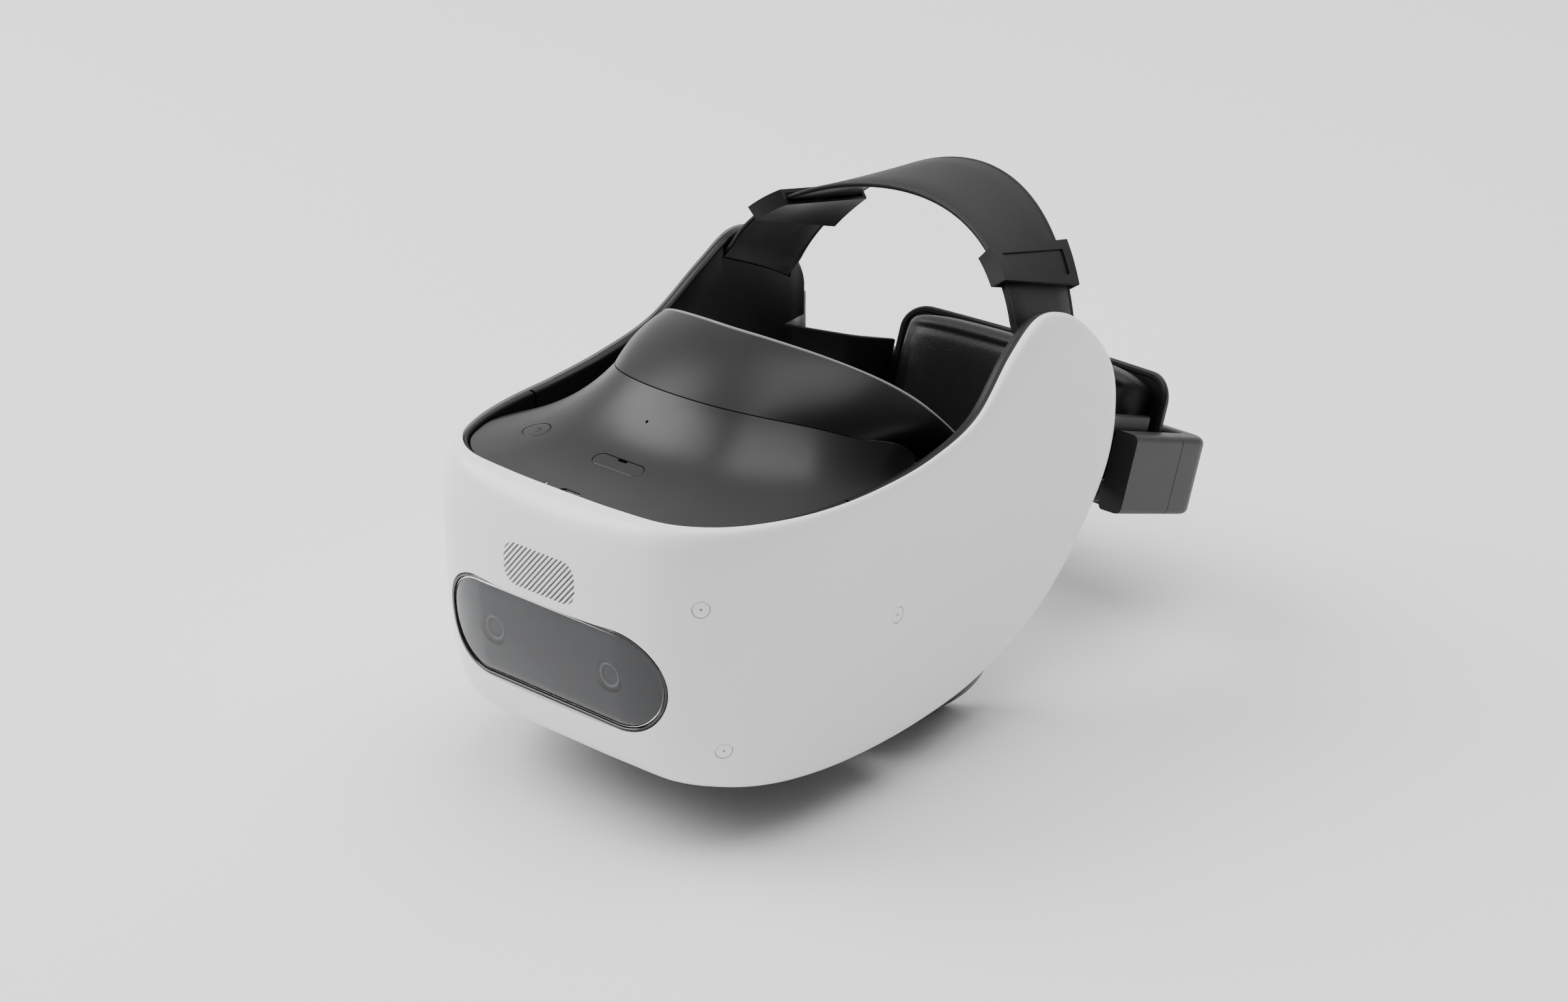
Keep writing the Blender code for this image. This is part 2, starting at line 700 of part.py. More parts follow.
def deck_slab(name, lift, drop):
    """Deck-shaped solid between two offsets."""
    along = 36
    across = 8
    path = [2 * i / along - 1 for i in range(along + 1)]
    shares = [j / across for j in range(across + 1)]
    outer = [[deck_point(v, t, -lift) for t in shares] for v in path]
    inner = [[deck_point(v, t, drop) for t in shares] for v in path]
    return slab(name, outer, inner)


def build_deck():
    """Top deck, its power button, card door, lamp and the socket under it."""
    deck = deck_slab("deck_cover", 0.0, DECK_WALL)
    cut(deck, disc("hole", POWER_RADIUS + 0.25, "z", 30.0, 70.0, (POWER_X, POWER_Y, 0.0), 36))
    cut(deck, prism("hole", stadium(CARD_HALF + 0.2, CARD_RADIUS + 0.2, (0.0, CARD_Y), 10), "z", 30.0, 70.0))
    cut(deck, disc("hole", 0.6, "z", 30.0, 80.0, (MIC_X, MIC_Y, 0.0), 16))
    socket = stadium(USB_WIDTH / 2 + 0.75, USB_HEIGHT / 2 + 0.75, (0.0, USB_Y), 8)
    cut(deck, prism("hole", socket, "z", 30.0, 70.0))
    cut(deck, disc("hole", 0.75, "z", 30.0, 70.0, (LED_X, USB_Y + 1.0, 0.0), 16))
    finish(deck, "deck_grey")

    button = deck_slab("power_button", 0.0, DECK_WALL)
    keep(button, disc("limit", POWER_RADIUS, "z", 30.0, 70.0, (POWER_X, POWER_Y, 0.0), 36))
    level = deck_height(POWER_X, POWER_Y)
    join(button, disc("stem", 2.0, "z", level - 6.5, level - 1.0, (POWER_X, POWER_Y, 0.0), 20))
    finish(button, "deck_grey", (POWER_X, POWER_Y, level))
    switch = box("power_switch", (POWER_X - 3, POWER_Y - 3, level - 11.0),
                 (POWER_X + 3, POWER_Y + 3, level - 7.6))
    finish(switch, "satin_black", (POWER_X, POWER_Y, level - 9.0))

    door = deck_slab("card_door", 0.0, DECK_WALL)
    keep(door, prism("limit", stadium(CARD_HALF, CARD_RADIUS, (0.0, CARD_Y), 10), "z", 30.0, 70.0))
    cut(door, box("nail", (-2.2, CARD_Y + CARD_RADIUS - 0.9, 30.0), (2.2, CARD_Y + CARD_RADIUS + 2.0, 70.0)))
    level = deck_height(0.0, CARD_Y - CARD_RADIUS)
    finish(door, "deck_grey", (0.0, CARD_Y - CARD_RADIUS + 0.2, level - 1.2))
    reader = box("card_reader", (-11.0, CARD_Y - 3.0, level - 17.0),
                 (11.0, CARD_Y + 3.0, level - DECK_WALL - 0.8))
    cut(reader, box("slot", (-8.0, CARD_Y - 1.2, level - 15.0), (8.0, CARD_Y + 1.2, level + 5.0)))
    finish(reader, "steel", (0.0, CARD_Y, level - 9.0))

    level = deck_height(0.0, USB_Y)
    port = prism("usb_port", stadium(USB_WIDTH / 2 + 0.45, USB_HEIGHT / 2 + 0.45, (0.0, USB_Y), 8),
                 "z", level - 8.2, level - 0.5)
    mouth = stadium(USB_WIDTH / 2, USB_HEIGHT / 2, (0.0, USB_Y), 8)
    cut(port, prism("mouth", mouth, "z", level - 7.4, level + 2))
    join(port, box("tongue", (-3.2, USB_Y - 0.35, level - 7.8), (3.2, USB_Y + 0.35, level - 1.6)))
    finish(port, "steel", (0.0, USB_Y, level - 0.5))
    lamp = disc("status_lamp", 0.55, "z", level - 5.0, level - 0.1, (LED_X, USB_Y + 1.0, 0.0), 16)
    finish(lamp, "led_white", (LED_X, USB_Y + 1.0, level))


def liner_section(u, wall, low, high, offset=0.0):
    """Rounded wall section of the liner between two heights (0 top, 1 bottom)."""
    (x, y), (nx, ny), (top, bottom, roll_top, roll_bottom, belly) = shell_frame(u)
    points = []
    for extra, height, dz in ((GAP, low, -0.9), (GAP + 0.5, low, 0.0), (GAP + wall * 0.55, low, 0.3),
                              (GAP + wall - 0.3, low, -0.5), (GAP + wall, low, -1.8)):
        px, py, pz = inner_edge(u, extra, height)
        points.append((px, py, pz - LINER_DROP + dz))
    count = 4
    for k in range(1, count + 1):
        height = low + (high - low) * k / count
        px, py, pz = inner_edge(u, GAP + wall, height)
        points.append((px, py, pz + (0.9 if k == count else 0.0)))
    for k in range(count, 0, -1):
        height = low + (high - low) * k / count
        px, py, pz = inner_edge(u, GAP, height)
        points.append((px, py, pz + (0.9 if k == count else 0.0)))
    return points


def wing_liner_depth(u):
    """Share of the shell's height that the wing liner covers: all of it, then only above the side band."""
    top, bottom = shell_frame(u)[2][:2]
    band_top = tilt((0.0, BAND_START, BAND_TOP))[2] + 4 * GAP
    above = (top - band_top) / (top - bottom)
    return 1.0 + (above - 1.0) * smooth_step(*WING_LINER_STEP, u)


def build_liners():
    """Black liner inside the white shell: one piece round the front, one on each wing."""
    rings = []
    count = 26
    for i in range(count + 1):
        u = FRONT_LINER_SHARE * (2 * i / count - 1)
        row = shell_frame(u)[2]
        rings.append(liner_section(u, liner_wall(u), 0.0, FRONT_LINER_DEPTH / (row[0] - row[1])))
    front = loft("front_liner", rings)
    socket = stadium(USB_WIDTH / 2 + 0.75, USB_HEIGHT / 2 + 0.75, (0.0, USB_Y), 8)
    cut(front, prism("hole", socket, "z", 30.0, 70.0))
    finish(front, "satin_black")
    for side, label in ((1, "left"), (-1, "right")):
        rings = []
        count = 34
        start = FRONT_LINER_SHARE + 0.003
        for i in range(count + 1):
            u = start + (WING_LINER_END - start) * i / count
            rings.append(liner_section(side * u, liner_wall(u), 0.0, wing_liner_depth(u)))
        liner = loft("wing_liner_%s" % label, rings)
        ends = (68.0, 92.0) if side > 0 else (-92.0, -68.0)
        cut(liner, strap_solid("slot", ends[0], ends[1], STRAP_WIDTH / 2 + 0.6,
                               -STRAP_WALL / 2 - 0.5, STRAP_WALL / 2 + 0.5, 10))
        finish(liner, "satin_black")
        centre = strap_point(math.radians(89.0) * side, 0.0, 0.0)
        anchor = box("strap_anchor_%s" % label, (-1.3, -20.0, -5.0), (1.3, 20.0, 5.0),
                     lambda p, c=centre, s=side: (c[0] + s * 1.2 + p[0], c[1] + p[1] * 0.90 + p[2] * 0.44,
                                          c[2] - 7.2 - p[1] * 0.44 + p[2] * 0.90))
        finish(anchor, "steel", (centre[0], centre[1], centre[2] - 7.2))
        speaker = revolve("speaker_%s" % label, [(r, side * h) for r, h in (
            (0.0, 0.0), (10.5, 0.0), (11.5, 1.0), (11.5, 2.6), (7.0, 4.2), (0.0, 4.2))],
                          "x", (side * 85.5, 66.0, 12.0), 32)
        finish(speaker, "satin_black", (side * 87.5, 66.0, 12.0))


def build_belly():
    """Flat cover that closes the underside in front of the hood."""
    outline = []
    count = 40
    for i in range(count + 1):
        u = BELLY_REACH * (2 * i / count - 1)
        beside = (LINER_THICK + GAP) * smooth_step(FRONT_LINER_SHARE - 0.09, FRONT_LINER_SHARE - 0.02, abs(u))
        x, y, z = inner_edge(u, 3 * GAP + beside, 1.0)
        outline.append((x, y))
    for i in range(17):
        side = 1 if i < 8 else -1
        x, y, z = loop_point(HOOD_SEAM, 1.0 - BELLY_REAR * abs(i - 8) / 8)
        outline.append((side * x, y - 4 * GAP))
    cover = prism("belly_cover", outline, "z", BELLY_Z, BELLY_Z + BELLY_WALL)
    well = disc("well", IPD_WHEEL_RADIUS + 0.9, "y", -97.2, -88.8, (0.0, 0.0, IPD_WHEEL_Z), 36)
    cut(cover, well)
    finish(cover, "satin_black")


def build_hood():
    """Light-tight hood and the foam cushion on its rim."""
    count = 52
    steps = 4
    outer = []
    inner = []
    for i in range(count):
        v = 2 * i / count - 1
        outer.append([hood_point(v, 0.012 + 0.988 * j / steps) for j in range(steps + 1)])
        inner.append([hood_point(v, 0.012 + 0.988 * j / steps, HOOD_WALL) for j in range(steps + 1)])
    hood = slab("hood", outer, inner, wrap=True)
    finish(hood, "satin_black")
    rings = []
    for i in range(count):
        v = 2 * i / count - 1
        rim = np.array(hood_point(v, 1.0))
        back = rim - np.array(hood_point(v, 0.9))
        back /= np.linalg.norm(back)
        inward = np.array(hood_point(v, 1.0, 1.0)) - rim
        inward /= np.linalg.norm(inward)
        ring = []
        for along, into in ((0.4, 0.1), (1.6, 0.0), (CUSHION_RISE, 1.2), (CUSHION_RISE + 0.5, 4.0),
                            (CUSHION_RISE - 0.4, 7.0), (-1.5, CUSHION_WIDTH), (-6.5, CUSHION_WIDTH),
                            (-8.0, 6.8), (-7.0, HOOD_WALL + 1.4), (0.4, HOOD_WALL + 0.9)):
            ring.append(tuple(rim + back * along + inward * into))
        rings.append(ring)
    verts = [p for ring in rings for p in ring]
    size = len(rings[0])
    faces = []
    for i in range(count):
        n = (i + 1) % count
        for j in range(size):
            k = (j + 1) % size
            faces.append((i * size + j, n * size + j, n * size + k, i * size + k))
    cushion = raw_object("face_cushion", verts, faces)
    finish(cushion, "foam_grey")


# ---------------------------------------------------------------- inside the front body

def build_optics():
    """Lens tubes with lenses and displays, on two rods, moved by the eye-distance wheel."""
    rod_z = (LENS_Z + TUBE_RADIUS + ROD_RISE, LENS_Z - TUBE_RADIUS - ROD_RISE)
    for z, label in zip(rod_z, ("upper", "lower")):
        rod = disc("guide_rod_%s" % label, ROD_RADIUS, "x", -66.3, 66.3, (0.0, TUBE_FRONT + 6.0, z), 20)
        finish(rod, "steel", (0.0, TUBE_FRONT + 6.0, z))
    for side, label in ((1, "left"), (-1, "right")):
        x = side * LENS_X
        inside = TUBE_RADIUS - TUBE_WALL
        profile = ((inside, TUBE_FRONT), (TUBE_RADIUS, TUBE_FRONT), (TUBE_RADIUS, TUBE_REAR),
                   (inside - 1.5, TUBE_REAR), (inside - 1.5, TUBE_REAR - 2.0), (inside, TUBE_REAR - 2.0))
        tube = revolve("lens_tube_%s" % label, profile, "y", (x, 0.0, LENS_Z), 32)
        for z, sign in zip(rod_z, (1, -1)):
            low, high = sorted((LENS_Z + sign * (TUBE_RADIUS - 0.7 * TUBE_WALL), z + sign * LUG_EDGE))
            join(tube, box("lug", (x - 7, TUBE_FRONT + 1.5, low), (x + 7, TUBE_FRONT + 10.5, high)))
            cut(tube, disc("bore", ROD_RADIUS + RUN, "x", x - 10, x + 10, (0.0, TUBE_FRONT + 6.0, z), 20))
        finish(tube, "satin_black", (x, TUBE_REAR, LENS_Z))
        edge = inside - 0.3
        rear = TUBE_REAR - 2.3
        front = rear - LENS_THICK
        lens = revolve("lens_%s" % label, ((0.0, front - 3.0), (edge * 0.5, front - 2.2),
                                           (edge, front + 0.6), (edge, rear), (edge - 2.0, rear),
                                           (edge * 0.5, rear - 1.2), (0.0, rear - 1.8)),
                       "y", (x, 0.0, LENS_Z), 32)
        finish(lens, "lens_clear", (x, rear, LENS_Z))
        half = TUBE_RADIUS - 1.0
        panel = box("display_%s" % label, (x - half, TUBE_FRONT - 2.6, LENS_Z - half),
                    (x + half, TUBE_FRONT - GAP, LENS_Z + half))
        finish(panel, "display_dark", (x, TUBE_FRONT, LENS_Z))
        # toothed rack below (left) or above (right) the pinion
        pitch = 2 * math.pi * IPD_PINION_RADIUS / IPD_TEETH
        level = IPD_WHEEL_Z - side * IPD_PINION_RADIUS
        low_x = -12.0 if side > 0 else -30.0
        outline = rack_outline(low_x, low_x + 42.0, level, -side, pitch, 1.6, 3.2, 0.0)
        rack = prism("ipd_rack_%s" % label, outline, "y", -86.6, -84.2)
        arm = sorted((side * 26.0, side * 30.0))
        under = LENS_Z - TUBE_RADIUS - 2.0
        join(rack, box("arm", (arm[0], -86.6, level - side * 1.6), (arm[1], -84.9, under)))
        join(rack, box("foot", (arm[0], -86.0, under - 6.0), (arm[1], TUBE_FRONT + 1.2, under - 0.5)))
        finish(rack, "satin_black", (x, -85.4, level))
    phase = math.pi / 2 + math.pi / IPD_TEETH
    outline = gear_outline(IPD_TEETH, IPD_PINION_RADIUS, 1.6, (0.0, IPD_WHEEL_Z), phase)
    wheel = prism("ipd_wheel", outline, "y", -86.6, -84.2)
    join(wheel, disc("shaft", 2.0, "y", -99.6, -86.0, (0.0, 0.0, IPD_WHEEL_Z), 24))
    rim = []
    for i in range(48):
        radius = IPD_WHEEL_RADIUS - (0.0 if i % 2 else 0.6)
        angle = 2 * math.pi * i / 48
        rim.append((radius * math.cos(angle), IPD_WHEEL_Z + radius * math.sin(angle)))
    join(wheel, prism("rim", rim, "y", -96.5, -89.5))
    finish(wheel, "soft_black", (0.0, -92.0, IPD_WHEEL_Z))


def rack_outline(low_x, high_x, level, back, pitch, depth, height, phase):
    """Closed outline of a straight rack; back is +1 when the body is above the teeth."""
    points = [(low_x, level + back * height), (low_x, level + back * depth / 2)]
    first = math.ceil(low_x / pitch) + 1
    last = math.floor(high_x / pitch) - 1
    for i in range(first, last):
        centre = (i + phase) * pitch
        for share, side in ((-0.28, 0.5), (-0.10, -0.5), (0.10, -0.5), (0.28, 0.5)):
            points.append((centre + share * pitch, level + back * depth * side))
    points += [(high_x, level + back * depth / 2), (high_x, level + back * height)]
    return points


def build_electronics():
    """Board, heat sink, fan and battery behind the visor, on an inner frame."""
    board = box("main_board", (-62.0, -115.6, -46.0), (62.0, -114.0, 40.0))
    finish(board, "board_green", (0.0, -114.8, 0.0))
    sink = box("heat_sink", (-24.0, -119.0, 2.0), (24.0, -116.0, 32.0))
    for i in range(9):
        x = -24.0 + 5.75 * i
        join(sink, box("fin", (x, -130.5, 2.0), (x + 2.0, -118.0, 32.0)))
    finish(sink, "aluminium", (0.0, -116.0, 20.0))
    housing = prism("fan_housing", rounded(17.5, 15.5, 3.0, (0.0, 21.0)), "y", -141.0, -131.2)
    cut(housing, disc("bore", 14.0, "y", -142.0, -133.4, (0.0, 0.0, 21.0), 40))
    cut(housing, disc("bore", 11.5, "y", -143.0, -130.0, (0.0, 0.0, 21.0), 36))
    join(housing, box("bridge", (-15.0, -133.4, 19.0), (15.0, -131.4, 23.0)))
    join(housing, disc("boss", 4.0, "y", -134.6, -131.4, (0.0, 0.0, 21.0), 24))
    finish(housing, "satin_black", (0.0, -136.0, 21.0))
    rotor = disc("fan_rotor", 5.5, "y", -140.4, -135.2, (0.0, 0.0, 21.0), 28)
    for i in range(7):
        angle = 2 * math.pi * i / 7

        def place(p, angle=angle):
            lean = math.radians(35)
            x = p[0]
            y = p[1] * math.cos(lean) - p[2] * math.sin(lean)
            z = p[1] * math.sin(lean) + p[2] * math.cos(lean)
            across = x * math.cos(angle) - z * math.sin(angle)
            return (across, y - 137.8, 21.0 + x * math.sin(angle) + z * math.cos(angle))
        join(rotor, box("blade", (4.6, -2.3, -0.45), (13.2, 2.3, 0.45), place))
    finish(rotor, "satin_black", (0.0, -137.8, 21.0))
    battery = prism("battery", rounded(48.0, 27.0, 3.0, (0.0, -3.0)), "y", -112.5, -100.5)
    finish(battery, "battery_blue", (0.0, -106.0, -3.0))
    frame = prism("inner_frame", rounded(70.0, 41.0, 10.0, (0.0, -8.0)), "y", -99.8, -97.6)
    join(frame, box("bearing", (-7.0, -99.8, IPD_WHEEL_Z - 6.0), (7.0, -97.6, -45.0)))
    cut(frame, disc("bore", 2.0 + RUN, "y", -102.0, -95.0, (0.0, 0.0, IPD_WHEEL_Z), 24))
    for sx in (1, -1):
        for sz in (1, -1):
            post = disc("post", 3.0, "y", -113.7, -98.5, (sx * 57.0, 0.0, -8.0 + sz * 31.0), 16)
            join(frame, post)
            rod_z = LENS_Z + sz * (TUBE_RADIUS + ROD_RISE)
            post = box("arm", (sx * 68.2 - 1.6, -99.0, rod_z - 3.2),
                       (sx * 68.2 + 1.6, TUBE_FRONT + 9.0, rod_z + 3.2))
            join(frame, post)
    finish(frame, "aluminium", (0.0, -98.7, -8.0))


# ---------------------------------------------------------------- strap

def build_strap():
    """Leather-like strap over the head with its two sliding keepers."""
    strap = strap_solid("top_strap", -89.0, 89.0, STRAP_WIDTH / 2, -STRAP_WALL / 2, STRAP_WALL / 2, 44)
    finish(strap, "leather_black")
    for side, label in ((1, "left"), (-1, "right")):
        start = side * (KEEPER_ANGLE - KEEPER_HALF)
        end = side * (KEEPER_ANGLE + KEEPER_HALF)
        inner = STRAP_WALL / 2 + KEEPER_CLEAR
        keeper = strap_solid("strap_keeper_%s" % label, start, end, STRAP_WIDTH / 2 + KEEPER_CLEAR + 2.0,
                             -inner - 1.2, inner + KEEPER_WALL, 8)
        cut(keeper, strap_solid("way", start - side * 4, end + side * 4, STRAP_WIDTH / 2 + KEEPER_CLEAR,
                                -inner, inner, 10))
        low, high = sorted((start + side * 3.0, end - side * 3.0))
        cut(keeper, strap_solid("panel", low, high, STRAP_WIDTH / 2 - 3.0, inner + KEEPER_WALL - 0.7,
                                inner + KEEPER_WALL + 3.0, 6))
        centre, across, radius = keeper_axis(side)
        finish(keeper, "satin_black", tuple(centre))


def keeper_axis(side):
    """Centre of curvature of the strap at the keeper, the axis direction and the radius."""
    angle = math.radians(KEEPER_ANGLE) * side
    step = math.radians(KEEPER_HALF * 0.8)
    a, b, c = (np.array(strap_point(angle + k * step, 0.0, 0.0)) for k in (-1, 0, 1))
    u = b - a
    v = c - a
    w = np.cross(u, v)
    centre = a + (np.cross(w, u) * np.dot(v, v) + np.cross(v, w) * np.dot(u, u)) / (2 * np.dot(w, w))
    return centre, w / np.linalg.norm(w), float(np.linalg.norm(b - centre))


# ---------------------------------------------------------------- rear unit

def band_path():
    """Centre line of the side band in the rear frame, as (x, a) points."""
    straight = BAND_TONGUE_X
    bend = [(x, BAND_BEND + (BAND_START - BAND_BEND) * share) for x, share in
            ((87.6, 1.0), (85.6, 0.75), (80.8, 0.51), (76.8, 0.295), (74.0, 0.136), (straight + 0.3, 0.0))]
    return (*bend, (straight, BAND_BEND / 2), (straight, BAND_END))


def build_bands():
    """Side bands from the wings into the rear cradle."""
    control = band_path()
    points = [spline(control, i / BAND_STEPS, False) for i in range(BAND_STEPS + 1)]
    for side, label in ((1, "left"), (-1, "right")):
        outer = []
        inner = []
        for i, p in enumerate(points):
            a = points[max(i - 1, 0)]
            b = points[min(i + 1, BAND_STEPS)]
            d = b - a
            d = d / np.linalg.norm(d)
            n = np.array((d[1], -d[0]))
            if n[0] < 0:
                n = -n
            row_out = []
            row_in = []
            for height in (BAND_TOP, BAND_TOP - 1.0, BAND_TOP - BAND_HEIGHT + 1.0, BAND_TOP - BAND_HEIGHT):
                thin = BAND_WALL / 2 - (0.8 if height in (BAND_TOP, BAND_TOP - BAND_HEIGHT) else 0.0)
                o = p + n * thin
                q = p - n * thin
                row_out.append(tilt((side * o[0], o[1], height)))
                row_in.append(tilt((side * q[0], q[1], height)))
            outer.append(row_out)
            inner.append(row_in)
        band = slab("side_band_%s" % label, outer, inner)
        finish(band, "satin_black", tilt((side * BAND_TONGUE_X, 0.0, 0.0)))


def cradle_back(x):
    """Rear face of the cradle at a half width, bowed outward in the middle."""
    return CRADLE_BACK + CRADLE_BOW * (1 - (x / CRADLE_HALF) ** 2)


def cradle_section(half, start, shrink):
    """U-shaped outline of the cradle in its own plane, shrink mm inside the outer face."""
    outer = half - shrink
    corner = max(CRADLE_CORNER - shrink, 1.5)
    points = [(outer, start)]
    count = 8
    back = CRADLE_BACK - shrink
    for i in range(count + 1):
        angle = math.pi / 2 * i / count
        points.append((outer - corner + corner * math.cos(angle), back - corner + corner * math.sin(angle)))
    edge = outer - corner
    for i in range(1, 12):
        x = edge * (1 - i / 6)
        points.append((x, back + CRADLE_BOW * (1 - (x / edge) ** 2)))
    for i in range(count, -1, -1):
        angle = math.pi / 2 * i / count
        points.append((-edge - corner * math.cos(angle), back - corner + corner * math.sin(angle)))
    points.append((-outer, start))
    return points


def cradle_slab(name, start, rounding=3.0):
    """U-shaped housing with rounded edges."""
    middle = CRADLE_TOP - CRADLE_HEIGHT / 2
    rings = []
    layers = []
    for i in range(5):
        angle = math.pi / 2 * i / 4
        rise = CRADLE_HEIGHT / 2 - rounding + rounding * math.sin(angle)
        layers.append((rise, rounding * (1 - math.cos(angle))))
    levels = [(-h, s) for h, s in reversed(layers)] + list(layers)
    outer = []
    inner = []
    for height, shrink in levels:
        outside = cradle_section(CRADLE_HALF, start, shrink)
        inside = cradle_section(CRADLE_HALF, start, CRADLE_WALL - shrink * 0.7)
        outer.append([tilt((x, a, middle + height)) for x, a in outside])
        inner.append([tilt((x, a, middle + height)) for x, a in inside])
    return slab(name, outer, inner)


def pad_front(x):
    """Front face of the rear cushion."""
    return -5.0 + 17.0 * (1 - (abs(x) / PAD_HALF) ** 2)


def backing_front(x):
    """Front face of the backing plate."""
    return 20.0 + 12.0 * (1 - (abs(x) / BACKING_HALF) ** 2)


def build_rear():
    """Rear cradle: housing, its two end caps, backing plate and cushion."""
    middle = CRADLE_TOP - CRADLE_HEIGHT / 2
    housing = cradle_slab("rear_housing", CRADLE_FRONT)
    cut(housing, box("front", (-100.0, CRADLE_FRONT - 5, -60.0), (100.0, CAP_JOINT + 0.15, 40.0), tilt))
    cut(housing, box("channel", (-66.0, 30.0, middle - 10.2), (66.0, 48.6, middle + 10.2), tilt))
    cut(housing, disc("bore", 3.0 + RUN, "y", 40.0, 70.0, (0.0, 0.0, middle), 28, tilt))
    finish(housing, "soft_black", tilt((0.0, CRADLE_BACK, middle)))
    for side, label in ((1, "left"), (-1, "right")):
        cap = cradle_slab("housing_cap_%s" % label, CRADLE_FRONT)
        cut(cap, box("rear", (-100.0, CAP_JOINT - 0.15, -60.0), (100.0, 80.0, 40.0), tilt))
        low, high = sorted((0.0, -side * 100.0))
        cut(cap, box("other", (low, -60.0, -60.0), (high, 80.0, 40.0), tilt))
        finish(cap, "soft_black", tilt((side * CRADLE_HALF, 0.0, middle)))

    count = 28
    outer = []
    inner = []
    for i in range(count + 1):
        x = BACKING_HALF * (2 * i / count - 1)
        shrink = 3.0 * (max(abs(x) / BACKING_HALF - 0.86, 0.0) / 0.14) ** 2
        rows = (PAD_TOP - shrink * 2.5, PAD_TOP / 2, 0.0, PAD_BOTTOM / 2, PAD_BOTTOM + shrink * 2.5)
        outer.append([tilt((x, backing_front(x) + BACKING_WALL, b)) for b in rows])
        inner.append([tilt((x, backing_front(x), b)) for b in rows])
    plate = slab("pad_backing", outer, inner)
    join(plate, box("boss", (-24.0, 34.0, middle - 9.0), (24.0, 40.6, middle + 9.0), tilt))
    finish(plate, "satin_black", tilt((0.0, 34.0, 0.0)))
    cover = box("rack_cover", (-65.5, 41.0, middle - 9.9), (65.5, 42.6, middle + 9.9), tilt)
    cut(cover, disc("bore", 3.0 + RUN, "y", 30.0, 60.0, (0.0, 0.0, middle), 28, tilt))
    finish(cover, "satin_black", tilt((0.0, 41.0, middle)))

    rings = []
    count = 20
    for i in range(count + 1):
        x = (PAD_HALF + 4.0) * math.sin(math.pi / 2 * (2 * i / count - 1))
        share = abs(x) / (PAD_HALF + 4.0)
        edge = math.sqrt(max(1 - share ** 6, 0.004))
        top = PAD_TOP - 1.2 - 9.0 * (1 - edge)
        bottom = PAD_BOTTOM + 1.2 + 9.0 * (1 - edge)
        back = backing_front(x) - 0.4
        front = back - (back - pad_front(min(abs(x), PAD_HALF))) * edge
        ring = []
        for k in range(16):
            angle = 2 * math.pi * (k + 0.5) / 16
            c = math.cos(angle)
            s = math.sin(angle)
            sb = math.copysign(abs(s) ** 0.45, s)
            ca = math.copysign(abs(c) ** 0.55, c)
            b = (top + bottom) / 2 + (top - bottom) / 2 * sb
            a = (front + back) / 2 + (back - front) / 2 * ca
            ring.append(tilt((x, min(a, back), b)))
        rings.append(ring)
    cushion = loft("rear_cushion", rings)
    finish(cushion, "leather_black", tilt((0.0, 16.0, 0.0)))


def build_dial():
    """Fit dial at the back with its pinion and the two racks it drives."""
    middle = CRADLE_TOP - CRADLE_HEIGHT / 2
    depth = 1.8
    pitch = 2 * math.pi * DIAL_PINION / DIAL_TEETH
    start = cradle_back(0.0) + 0.5
    rim = []
    for i in range(60):
        radius = DIAL_RADIUS - (0.0 if i % 2 else 0.7)
        angle = 2 * math.pi * i / 60
        rim.append((radius * math.cos(angle), middle + radius * math.sin(angle)))
    dial = prism("fit_dial", rim, "y", start, start + DIAL_DEPTH, tilt)
    join(dial, disc("shaft", 3.0, "y", 41.5, start + 2.0, (0.0, 0.0, middle), 28, tilt))
    teeth = gear_outline(DIAL_TEETH, DIAL_PINION, depth, (0.0, middle), math.pi / 2)
    join(dial, prism("pinion", teeth, "y", 43.6, 47.6, tilt))
    finish(dial, "soft_black", tilt((0.0, start, middle)))
    for side, label in ((1, "left"), (-1, "right")):
        level = middle + side * DIAL_PINION
        low_x = -RACK_REACH if side > 0 else RACK_REACH - RACK_LENGTH
        outline = rack_outline(low_x, low_x + RACK_LENGTH, level, side, pitch, depth, 3.0, 0.5)
        rack = prism("fit_rack_%s" % label, outline, "y", 43.6, 47.2, tilt)
        finish(rack, "satin_black", tilt((side * 30.0, 45.5, level)))


# ---------------------------------------------------------------- assembly

def settle_frame():
    """Move every piece so that the origin is the bottom centre of the whole box."""
    low = np.full(3, 1e9)
    high = np.full(3, -1e9)
    for item in parts:
        spots = np.array([(item.matrix_world @ v.co)[:] for v in item.data.vertices])
        low = np.minimum(low, spots.min(axis=0))
        high = np.maximum(high, spots.max(axis=0))
    shift = Vector((0.0, -(low[1] + high[1]) / 2, -low[2]))
    for item in parts:
        item.location += shift
    print("frame shift mm", [round(c * 1000, 3) for c in shift],
          "size mm", [round(float(c) * 1000, 2) for c in (high - low)])


def main():
    """Build every sub-part in order."""
    clear_scene()
    build_shell()
    build_sensors()
    build_visor()
    build_deck()
    build_liners()
    build_belly()
    build_hood()
    build_optics()
    build_electronics()
    build_strap()
    build_bands()
    build_rear()
    build_dial()
    bpy.context.view_layer.update()
    settle_frame()


main()
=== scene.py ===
"""Looks for a stand-alone virtual-reality headset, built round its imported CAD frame.

The forms are worked out in millimetres in the head frame, whose zero lies between the
temples at brow height: the wearer's left is +X, the front faces -Y and +Z is up.
HeadFrame moves them into the row frame, in metres.
"""

import json
import logging
import math
from collections.abc import Callable, Sequence
from dataclasses import dataclass, field
from enum import Enum
from functools import cached_property

import bmesh
import bpy
import numpy as np
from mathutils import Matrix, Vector
from mathutils.bvhtree import BVHTree


